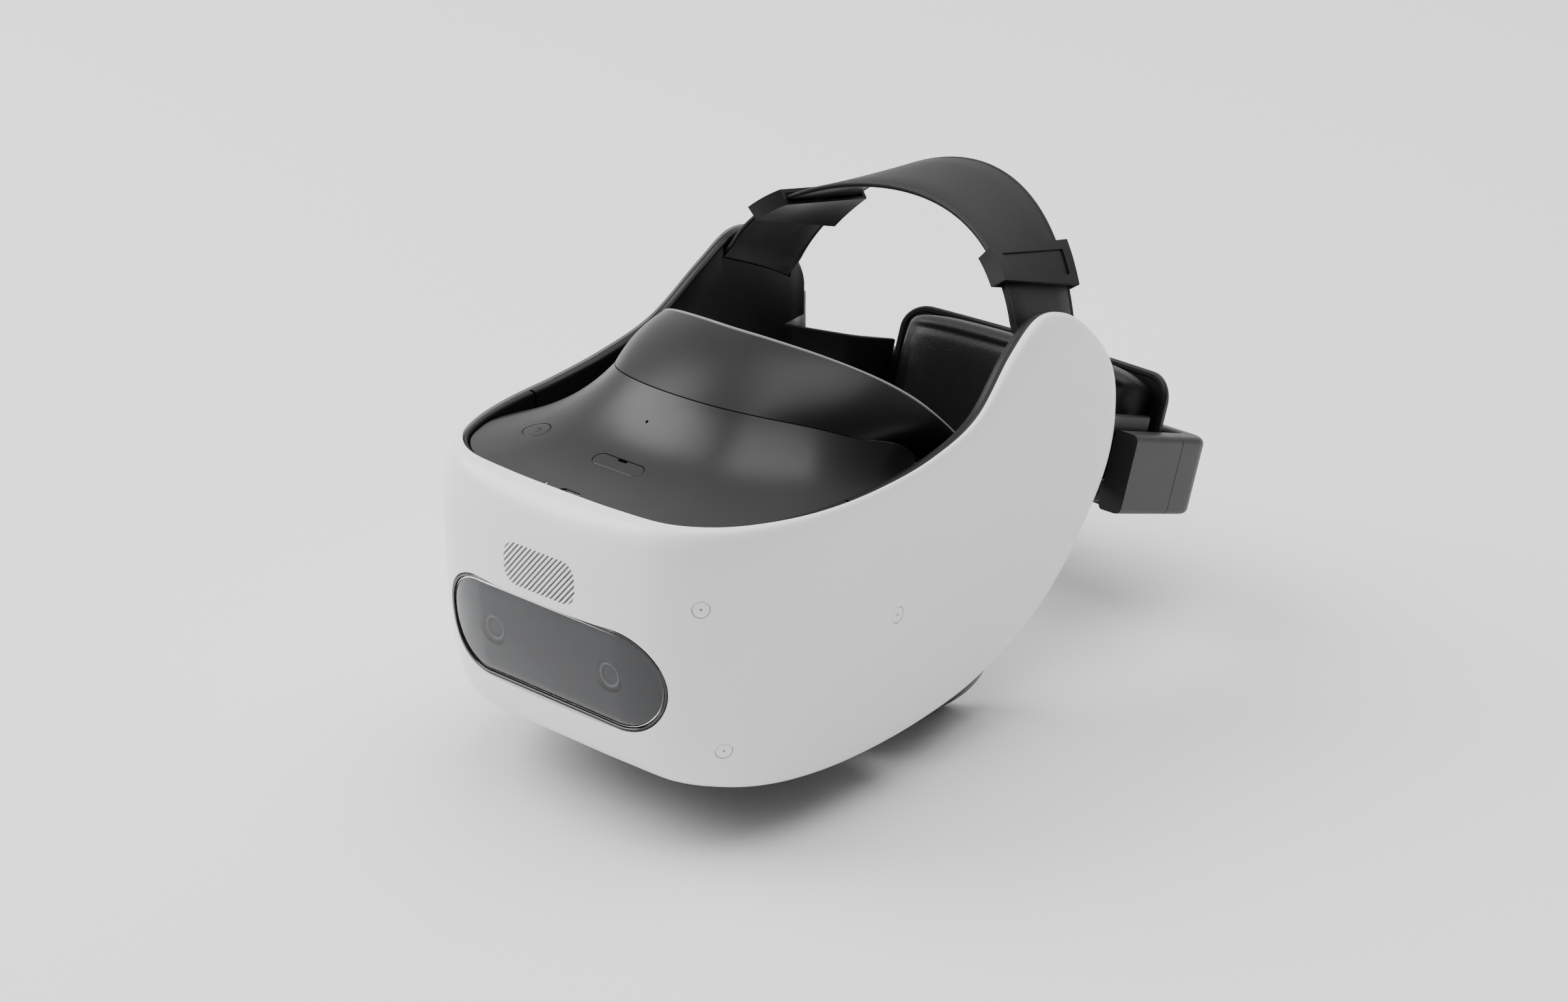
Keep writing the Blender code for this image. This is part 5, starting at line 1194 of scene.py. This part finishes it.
@dataclass
class Strap:
    """Leather strap over the head and its two keepers."""

    span: float = 79.0
    base_z: float = 55.0
    rise: float = 62.0
    y: float = 106.5
    lean: float = 31.0
    width: float = 51.0
    wall: float = 2.2
    twist: float = 26.0
    tuck: float = 6.5
    keeper_angle: float = 50.0
    keeper_half: float = 7.0
    keeper_wall: float = 1.8
    clear: float = 1.2

    def centre(self, angle: float) -> tuple[np.ndarray, np.ndarray]:
        """Centre and direction across the strap at an angle from the crown, in radians."""
        s = math.sin(angle)
        tuck = self.tuck * smooth_step(math.radians(72), math.radians(90), abs(angle)) * (1 if s > 0 else -1)
        spot = np.array((self.span * s + tuck, self.y - self.lean * s * s, self.base_z + self.rise * math.cos(angle)))
        twist = math.radians(self.twist) * s * s
        return spot, np.array((0.0, math.cos(twist), -math.sin(twist)))

    def frame_at(self, angle: float) -> tuple[np.ndarray, np.ndarray, np.ndarray]:
        """Centre, direction across and direction outward."""
        spot, across = self.centre(angle)
        step = 0.004
        along = self.centre(angle + step)[0] - self.centre(angle - step)[0]
        along /= np.linalg.norm(along)
        outward = np.cross(along, across)
        outward /= np.linalg.norm(outward)
        if outward[2] + outward[0] * math.sin(angle) < 0:
            outward = -outward
        return spot, across, outward

    def solid(self, name: str, start: float, end: float, half: float, low: float, high: float,
              steps: int) -> bpy.types.Object:
        """Strap-shaped solid between two angles in degrees, from lift low to high."""
        layers: list[list] = [[], []]
        for degrees in np.linspace(start, end, steps + 1):
            spot, across, outward = self.frame_at(math.radians(degrees))
            for layer, lift in zip(layers, (high, low)):
                layer.append([spot + across * side * half + outward * lift for side in (-1.0, -0.5, 0.0, 0.5, 1.0)])
        return slab(name, np.array(layers[0]), np.array(layers[1]))

    def build(self) -> None:
        """Make the strap with its turned edges, and the keepers."""
        half, thick = self.width / 2, self.wall / 2
        groove = 2.4
        top = [(-half + 0.7, thick), (-half + groove - 0.5, thick + 0.04), (-half + groove, thick - 0.22),
               (-half + groove + 0.5, thick), (-half * 0.5, thick), (0.0, thick)]
        outline = top + [(-a, b) for a, b in reversed(top[:-1])]
        outline += [(half - 0.2, thick * 0.75), (half, thick * 0.3), (half, -thick * 0.3), (half - 0.2, -thick * 0.75)]
        outline += [(-a, -b) for a, b in outline]
        rings = []
        for degrees in np.linspace(-89.0, 89.0, 241):
            spot, across, outward = self.frame_at(math.radians(degrees))
            rings.append([spot + across * a + outward * b for a, b in outline])
        dress(loft("top_strap_leather", rings, sharp=70.0), STRAP_LEATHER, "top_strap")
        for side, label in ((1, "left"), (-1, "right")):
            self.build_keeper(side, label)

    def build_keeper(self, side: int, label: str) -> None:
        """Flat loop with a raised border and a recessed panel."""
        start = side * (self.keeper_angle - self.keeper_half)
        end = side * (self.keeper_angle + self.keeper_half)
        inner = self.wall / 2 + self.clear
        half = self.width / 2 + self.clear
        keeper = self.solid(f"strap_keeper_{label}_loop", start, end, half + 2.0, -inner - 1.2,
                            inner + self.keeper_wall, 24)
        combine(keeper, self.solid("way", start - side * 4, end + side * 4, half, -inner, inner, 28), "DIFFERENCE")
        low, high = sorted((start + side * 3.0, end - side * 3.0))
        combine(keeper, self.solid("panel", low, high, self.width / 2 - 3.0, inner + self.keeper_wall - 0.7,
                                   inner + self.keeper_wall + 3.0, 18), "DIFFERENCE")
        dress(bevel(keeper, 0.75, 4, 40.0), SATIN_BLACK, f"strap_keeper_{label}")


# ---------------------------------------------------------------- rear unit

@dataclass
class RearUnit:
    """Side bands, cradle, cushion and dial, in a frame tilted down to the back."""

    tilt_degrees: float = 20.0
    origin: tuple = (150.0, -5.0)
    half: float = 88.5
    top: float = 8.5
    height: float = 36.0
    wall: float = 12.0
    front: float = -18.0
    back: float = 50.0
    bow: float = 4.0
    corner: float = 13.0
    cap_joint: float = 22.0
    rounding: float = 3.2
    pad_half: float = 62.0
    pad_top: float = 33.0
    backing_half: float = 75.5
    backing_wall: float = 4.0
    band_wall: float = 3.2
    band_top: float = 14.4
    band_height: float = 30.0
    dial_radius: float = 17.0
    dial_depth: float = 9.0
    dial_ribs: int = 60

    @property
    def middle(self) -> float:
        """Height of the cradle's middle."""
        return self.top - self.height / 2

    def tilt(self, point: Sequence) -> tuple[float, float, float]:
        """Rear frame (across, back, up) to head frame."""
        x, a, b = point
        angle = math.radians(self.tilt_degrees)
        return (x, self.origin[0] + a * math.cos(angle) + b * math.sin(angle),
                self.origin[1] - a * math.sin(angle) + b * math.cos(angle))

    def build(self) -> None:
        """Make every piece of the rear unit."""
        self.build_bands()
        self.build_cradle()
        self.build_backing()
        self.build_cushion()
        self.build_dial()

    def build_bands(self) -> None:
        """Satin black bands from the wings into the cradle."""
        control = ((87.6, -60.0), (85.6, -49.0), (80.8, -38.5), (76.8, -29.0), (74.0, -22.0), (72.8, -16.0),
                   (72.5, -8.0), (72.5, 13.0))
        points = [catmull(control, i / 72, False) for i in range(73)]
        thick, edge = self.band_wall / 2, 1.1
        low = self.band_top - self.band_height
        corner = [(math.cos(a), math.sin(a)) for a in np.linspace(0.0, math.pi / 2, 6)]
        outline = [(thick - edge + edge * c, self.band_top - edge + edge * s) for c, s in corner]
        outline += [(-thick + edge - edge * s, self.band_top - edge + edge * c) for c, s in corner]
        outline += [(-thick + edge - edge * c, low + edge - edge * s) for c, s in corner]
        outline += [(thick - edge + edge * s, low + edge - edge * c) for c, s in corner]
        for side, label in ((1, "left"), (-1, "right")):
            rings = []
            for i, point in enumerate(points):
                way = points[min(i + 1, 72)] - points[max(i - 1, 0)]
                normal = np.array((way[1], -way[0])) / np.linalg.norm(way)
                normal = normal if normal[0] > 0 else -normal
                rings.append([self.tilt((side * (point[0] + normal[0] * out), point[1] + normal[1] * out, up))
                              for out, up in outline])
            dress(loft(f"side_band_{label}_strip", rings, sharp=50.0), SATIN_BLACK, f"side_band_{label}")

    def cradle_outline(self, shrink: float) -> list:
        """U-shaped outline, shrink mm inside the outer face."""
        outer = self.half - shrink
        corner = max(self.corner - shrink, 1.5)
        edge = outer - corner
        back = self.back - shrink
        turns = np.linspace(0.0, math.pi / 2, 19)
        points = [(outer, a) for a in np.linspace(self.front, back - corner, 14)[:-1]]
        points += [(edge + corner * math.cos(t), back - corner + corner * math.sin(t)) for t in turns]
        points += [(x, back + self.bow * (1 - (x / edge) ** 2)) for x in np.linspace(edge, -edge, 41)[1:-1]]
        points += [(-edge - corner * math.cos(t), back - corner + corner * math.sin(t)) for t in turns[::-1]]
        points += [(-outer, a) for a in np.linspace(back - corner, self.front, 14)[1:]]
        return points

    def cradle_solid(self, name: str) -> bpy.types.Object:
        """Whole U-shaped housing with rounded edges."""
        layers = [(self.height / 2 - self.rounding + self.rounding * math.sin(a), self.rounding * (1 - math.cos(a)))
                  for a in np.linspace(0.0, math.pi / 2, 9)]
        levels = [(-h, s) for h, s in reversed(layers)] + layers
        outer, inner = [], []
        for height, shrink in levels:
            outer.append([self.tilt((x, a, self.middle + height)) for x, a in self.cradle_outline(shrink)])
            inner.append([self.tilt((x, a, self.middle + height))
                          for x, a in self.cradle_outline(self.wall - shrink * 0.7)])
        return slab(name, np.array(outer), np.array(inner))

    def block(self, low: tuple, high: tuple) -> bpy.types.Object:
        """Box in the rear frame."""
        outline = np.array(((low[0], low[1]), (high[0], low[1]), (high[0], high[1]), (low[0], high[1])))
        return prism("block", outline, "z", low[2], high[2], self.tilt)

    def build_cradle(self) -> None:
        """Rear housing and its two end caps, split at a fine joint."""
        housing = self.cradle_solid("rear_housing_skin")
        combine(housing, self.block((-100, self.front - 5, -60), (100, self.cap_joint + 0.15, 40)), "DIFFERENCE")
        combine(housing, self.block((-66, 30, self.middle - 10.2), (66, 48.6, self.middle + 10.2)), "DIFFERENCE")
        bore = prism("bore", circle(3.06, (0.0, self.middle), 40), "y", 40.0, 70.0, self.tilt)
        combine(housing, bore, "DIFFERENCE")
        dress(bevel(housing, 0.4, 2, 40.0), SOFT_BLACK, "rear_housing")
        for side, label in ((1, "left"), (-1, "right")):
            cap = self.cradle_solid(f"housing_cap_{label}_skin")
            combine(cap, self.block((-100, self.cap_joint - 0.15, -60), (100, 80, 40)), "DIFFERENCE")
            low, high = sorted((0.0, -side * 100.0))
            combine(cap, self.block((low, -60, -60), (high, 80, 40)), "DIFFERENCE")
            dress(bevel(cap, 0.9, 4, 40.0), SOFT_BLACK, f"housing_cap_{label}")

    def backing_front(self, x: float) -> float:
        """Front face of the backing plate."""
        return 20.0 + 12.0 * (1 - (abs(x) / self.backing_half) ** 2)

    def build_backing(self) -> None:
        """Curved backing plate with round corners and a thin raised border."""
        corner, edge, wall = 13.0, 1.1, self.backing_wall
        turns = np.linspace(0.0, math.pi / 2, 6)
        profile = [(12.0, wall), (edge, wall)]
        profile += [(edge * (1 - math.sin(t)), wall - edge * (1 - math.cos(t))) for t in turns[1:]]
        profile += [(edge * (1 - math.cos(t)), edge * (1 - math.sin(t))) for t in turns]
        profile += [(2.6, 0.0), (3.1, 0.5), (12.0, 0.5), (24.0, 0.5), (self.pad_top - 0.7, 0.5)]
        profile.insert(0, (self.pad_top - 0.7, wall))
        rings = []
        for inset, depth in profile:
            outline = rounded(self.backing_half - inset, self.pad_top - inset, max(corner - inset, 0.3), steps=16)
            dense = self.fill_outline(outline)
            rings.append([self.tilt((x, self.backing_front(x) + depth, b)) for x, b in dense])
        plate = loft("pad_backing_plate", rings)
        boss = self.block((-24, 34, self.middle - 9), (24, 40.6, self.middle + 9))
        combine(plate, boss, "UNION")
        dress(plate, SATIN_BLACK, "pad_backing")

    @staticmethod
    def fill_outline(outline: np.ndarray, each: int = 24) -> np.ndarray:
        """The same outline with points added along its straight runs."""
        made = []
        count = len(outline)
        longest = max(np.linalg.norm(outline[(i + 1) % count] - outline[i]) for i in range(count))
        for i in range(count):
            a, b = outline[i], outline[(i + 1) % count]
            straight = i % (count // 4) == count // 4 - 1
            parts = each if straight and longest > 1 else 1
            made += [a + (b - a) * k / parts for k in range(parts)]
        return np.array(made)

    def build_cushion(self) -> None:
        """Crowned leather cushion with a rolled border and a sunk seam."""
        rows, cols = 96, 88
        seam, groove, roll = 0.80, 0.05, 1.1
        rings = []
        reach = self.pad_half + 4.0
        for i in range(rows + 1):
            x = reach * math.sin(math.pi / 2 * (2 * i / rows - 1))
            share = abs(x) / reach
            edge = math.sqrt(max(1 - share ** 6, 0.004))
            top = self.pad_top - 1.2 - 9.0 * (1 - edge)
            back = self.backing_front(x) - 0.4 + 0.5
            crown = -5.0 + 17.0 * (1 - (min(abs(x), self.pad_half) / self.pad_half) ** 2)
            front = back - (back - crown) * edge
            ring = []
            for k in range(cols):
                angle = 2 * math.pi * (k + 0.5) / cols
                c, s = math.cos(angle), math.sin(angle)
                up = top * math.copysign(abs(s) ** 0.45, s)
                a = (front + back) / 2 + (back - front) / 2 * math.copysign(abs(c) ** 0.55, c)
                if c < 0:
                    rim = max(abs(up) / top, share ** 1.6)
                    dip = math.exp(-((rim - seam) / groove) ** 2)
                    swell = math.exp(-((rim - seam - 0.11) / 0.07) ** 2) * 0.5
                    a += roll * (dip - swell) * smooth_step(0.0, 0.3, -c)
                ring.append(self.tilt((x, min(a, back), up)))
            rings.append(ring)
        cushion = loft("rear_cushion_leather", rings, sharp=75.0)
        dress(cushion, LEATHER, "rear_cushion")

    def build_dial(self) -> None:
        """Fit dial: domed disc with ribs round its edge, on its shaft and pinion."""
        start = self.back + self.bow + 0.5
        radius, depth = self.dial_radius - 0.7, self.dial_depth
        profile = [(0.05, 0.0), (radius - 0.5, 0.0), (radius, 0.5), (radius, depth - 1.6)]
        profile += [(radius - 1.6 + 1.6 * math.cos(a), depth - 1.6 + 1.6 * math.sin(a))
                    for a in np.linspace(0.2, math.pi / 2, 6)]
        profile += [(radius - 3.4, depth), (radius - 3.9, depth - 0.6), (radius * 0.4, depth - 0.9),
                    (0.05, depth - 1.0)]
        dial = loft("fit_dial_knob", [[self.tilt((a, start + t, self.middle + b)) for a, b in circle(r, count=120)]
                                      for r, t in profile])
        dress(dial, SOFT_BLACK, body="fit_dial")
        hub = refined("fit_dial", 0.0)
        keep = self.block((-10, 38, self.middle - 10), (10, start + 0.2, self.middle + 10))
        combine(hub, keep, "INTERSECT")
        dress(hub, SOFT_BLACK, "fit_dial")
        centre = HEAD.place(np.array(self.tilt((0.0, start + depth / 2 - 0.3, self.middle))))
        ribs = dial_ribs(self.dial_ribs, self.dial_radius - 0.75, depth - 2.4, 0.55, centre, self.tilt_degrees,
                         SHOP.material(SOFT_BLACK))
        smooth(ribs)
        dress(ribs, SOFT_BLACK, body="fit_dial")


def dial_ribs(count: int, radius: float, length: float, thick: float, centre: np.ndarray, tilt: float,
              material: bpy.types.Material) -> bpy.types.Object:
    """Ring of small round ribs for the dial's edge; sizes in mm, centre in the row frame."""
    tool = GeometryTool("dial ribs", {
        "Count": ("NodeSocketInt", count), "Ring Radius": ("NodeSocketFloat", radius * MM),
        "Rib Radius": ("NodeSocketFloat", thick * MM), "Rib Length": ("NodeSocketFloat", length * MM),
        "Centre": ("NodeSocketVector", tuple(centre)),
        "Turn": ("NodeSocketVector", (math.radians(90.0 - tilt), 0.0, 0.0)),
        "Material": ("NodeSocketMaterial", material)})
    graph = tool.graph
    ring = graph.add("GeometryNodeMeshCircle", {"Vertices": tool.source.outputs["Count"],
                                                "Radius": tool.source.outputs["Ring Radius"]})
    rib = graph.add("GeometryNodeMeshCylinder", {"Vertices": 8, "Radius": tool.source.outputs["Rib Radius"],
                                                 "Depth": tool.source.outputs["Rib Length"]})
    spread = graph.add("GeometryNodeInstanceOnPoints", {"Points": ring.outputs[0], "Instance": rib.outputs[0]})
    moved = graph.add("GeometryNodeTransform", {"Geometry": spread.outputs[0],
                                                "Translation": tool.source.outputs["Centre"],
                                                "Rotation": tool.source.outputs["Turn"]})
    tool.close(moved.outputs[0])
    return tool.run("fit_dial_ribs")


# ---------------------------------------------------------------- pieces kept from the CAD shapes

@dataclass(frozen=True)
class Inside:
    """CAD nodes whose shape is right, with their finish and edge softening in mm."""

    finishes: tuple = (
        (SATIN_BLACK, 0.3, ("belly_cover", "power_switch", "speaker_left", "speaker_right", "lens_tube_left",
                            "lens_tube_right", "fan_housing", "rack_cover")),
        (SATIN_BLACK, 0.0, ("fan_rotor", "ipd_rack_left", "ipd_rack_right", "fit_rack_left", "fit_rack_right")),
        (SOFT_BLACK, 0.0, ("ipd_wheel",)),
        (STEEL, 0.0, ("card_reader", "usb_port", "guide_rod_upper", "guide_rod_lower")),
        (STEEL, 0.3, ("strap_anchor_left", "strap_anchor_right")),
        (ALUMINIUM, 0.2, ("inner_frame", "heat_sink")),
        (BOARD, 0.2, ("main_board",)),
        (BATTERY_FILM, 0.8, ("battery",)),
        (DISPLAY, 0.15, ("display_left", "display_right")),
        (LENS, 0.0, ("lens_left", "lens_right")),
        (LAMP, 0.0, ("status_lamp",)),
    )

    def build(self) -> None:
        """Dress a refined copy of each."""
        for finish, edge, nodes in self.finishes:
            for node in nodes:
                dress(refined(node, edge), finish, node)


# ---------------------------------------------------------------- floor, lights and camera

@dataclass(frozen=True)
class Softbox:
    """Soft area light aimed at the headset; sizes and places in metres."""

    name: str
    place: tuple[float, float, float]
    size: tuple[float, float]
    power: float


@dataclass
class Studio:
    """Pale floor, soft lights and the camera."""

    azimuth: float = 40.0
    elevation: float = 25.0
    distance: float = 1.270
    lens: float = 68.77
    sensor: float = 36.0
    floor_half: float = 6.0
    sky_way: tuple[float, float, float] = (-0.66, 0.33, 0.67)
    sky_low: float = 0.16
    sky_high: float = 1.15
    lights: tuple = (
        Softbox("key light", (-2.2, -1.2, 2.4), (2.4, 2.4), 125.0),
        Softbox("top light", (0.6, 0.4, 3.2), (2.6, 2.6), 80.0),
    )

    def build(self) -> None:
        """Set the scene round the headset."""
        target = Vector(HEAD.place(np.zeros(3)))
        self.build_floor()
        self.build_world()
        for light in self.lights:
            self.build_light(light, target)
        azimuth, elevation = math.radians(self.azimuth), math.radians(self.elevation)
        back = Vector((math.sin(azimuth) * math.cos(elevation), -math.cos(azimuth) * math.cos(elevation),
                       math.sin(elevation)))
        data = bpy.data.cameras.new("camera")
        data.lens = self.lens
        data.sensor_width = self.sensor
        camera = bpy.data.objects.new("camera", data)
        bpy.context.scene.collection.objects.link(camera)
        camera.location = target + back * self.distance
        camera.rotation_euler = (-back).to_track_quat("-Z", "Y").to_euler()
        bpy.context.scene.camera = camera

    def build_floor(self) -> None:
        """Plain pale floor under the headset."""
        half = self.floor_half
        mesh = bpy.data.meshes.new("floor")
        mesh.from_pydata([(-half, -half, 0.0), (half, -half, 0.0), (half, half, 0.0), (-half, half, 0.0)], [],
                         [(0, 1, 2, 3)])
        floor = bpy.data.objects.new("floor", mesh)
        bpy.context.scene.collection.objects.link(floor)
        made = bpy.data.materials.new("pale floor")
        made.use_nodes = True
        shader = made.node_tree.nodes["Principled BSDF"]
        shader.inputs["Base Color"].default_value = (0.90, 0.90, 0.90, 1.0)
        shader.inputs["Roughness"].default_value = 0.9
        mesh.materials.append(made)
        floor.location = (0.0, 0.0, -0.0006)

    def build_world(self) -> None:
        """Pale surroundings that grow brighter to the left and the back."""
        world = bpy.data.worlds.new("studio")
        world.use_nodes = True
        graph = Graph(world.node_tree)
        shade = world.node_tree.nodes["Background"]
        shade.inputs["Color"].default_value = (1.0, 1.0, 1.0, 1.0)
        way = graph.add("ShaderNodeTexCoord").outputs["Generated"]
        reach = graph.add("ShaderNodeVectorMath", {0: way, 1: self.sky_way}, operation="DOT_PRODUCT")
        glow = graph.add("ShaderNodeMapRange", {"Value": reach.outputs["Value"], "From Min": -0.35, "From Max": 0.95,
                                                "To Min": self.sky_low, "To Max": self.sky_high},
                         interpolation_type="SMOOTHSTEP")
        world.node_tree.links.new(glow.outputs["Result"], shade.inputs["Strength"])
        bpy.context.scene.world = world

    @staticmethod
    def build_light(light: Softbox, target: Vector) -> None:
        """One softbox turned to the headset."""
        data = bpy.data.lights.new(light.name, "AREA")
        data.shape = "RECTANGLE"
        data.size, data.size_y = light.size
        data.energy = light.power
        lamp = bpy.data.objects.new(light.name, data)
        bpy.context.scene.collection.objects.link(lamp)
        lamp.location = light.place
        lamp.rotation_euler = (target - lamp.location).to_track_quat("-Z", "Y").to_euler()


def main() -> None:
    """Build the studio and every sub-assembly in order."""
    logging.basicConfig(level=logging.INFO, format="%(name)s %(message)s")
    Studio().build()
    shell = ShellForm()
    hood = HoodForm()
    strap = Strap()
    Shell(shell).build()
    Deck(shell, hood).build()
    Liner(shell).build(strap)
    Hood(hood).build()
    strap.build()
    RearUnit().build()
    Inside().build()


if __name__ == "__main__":
    main()
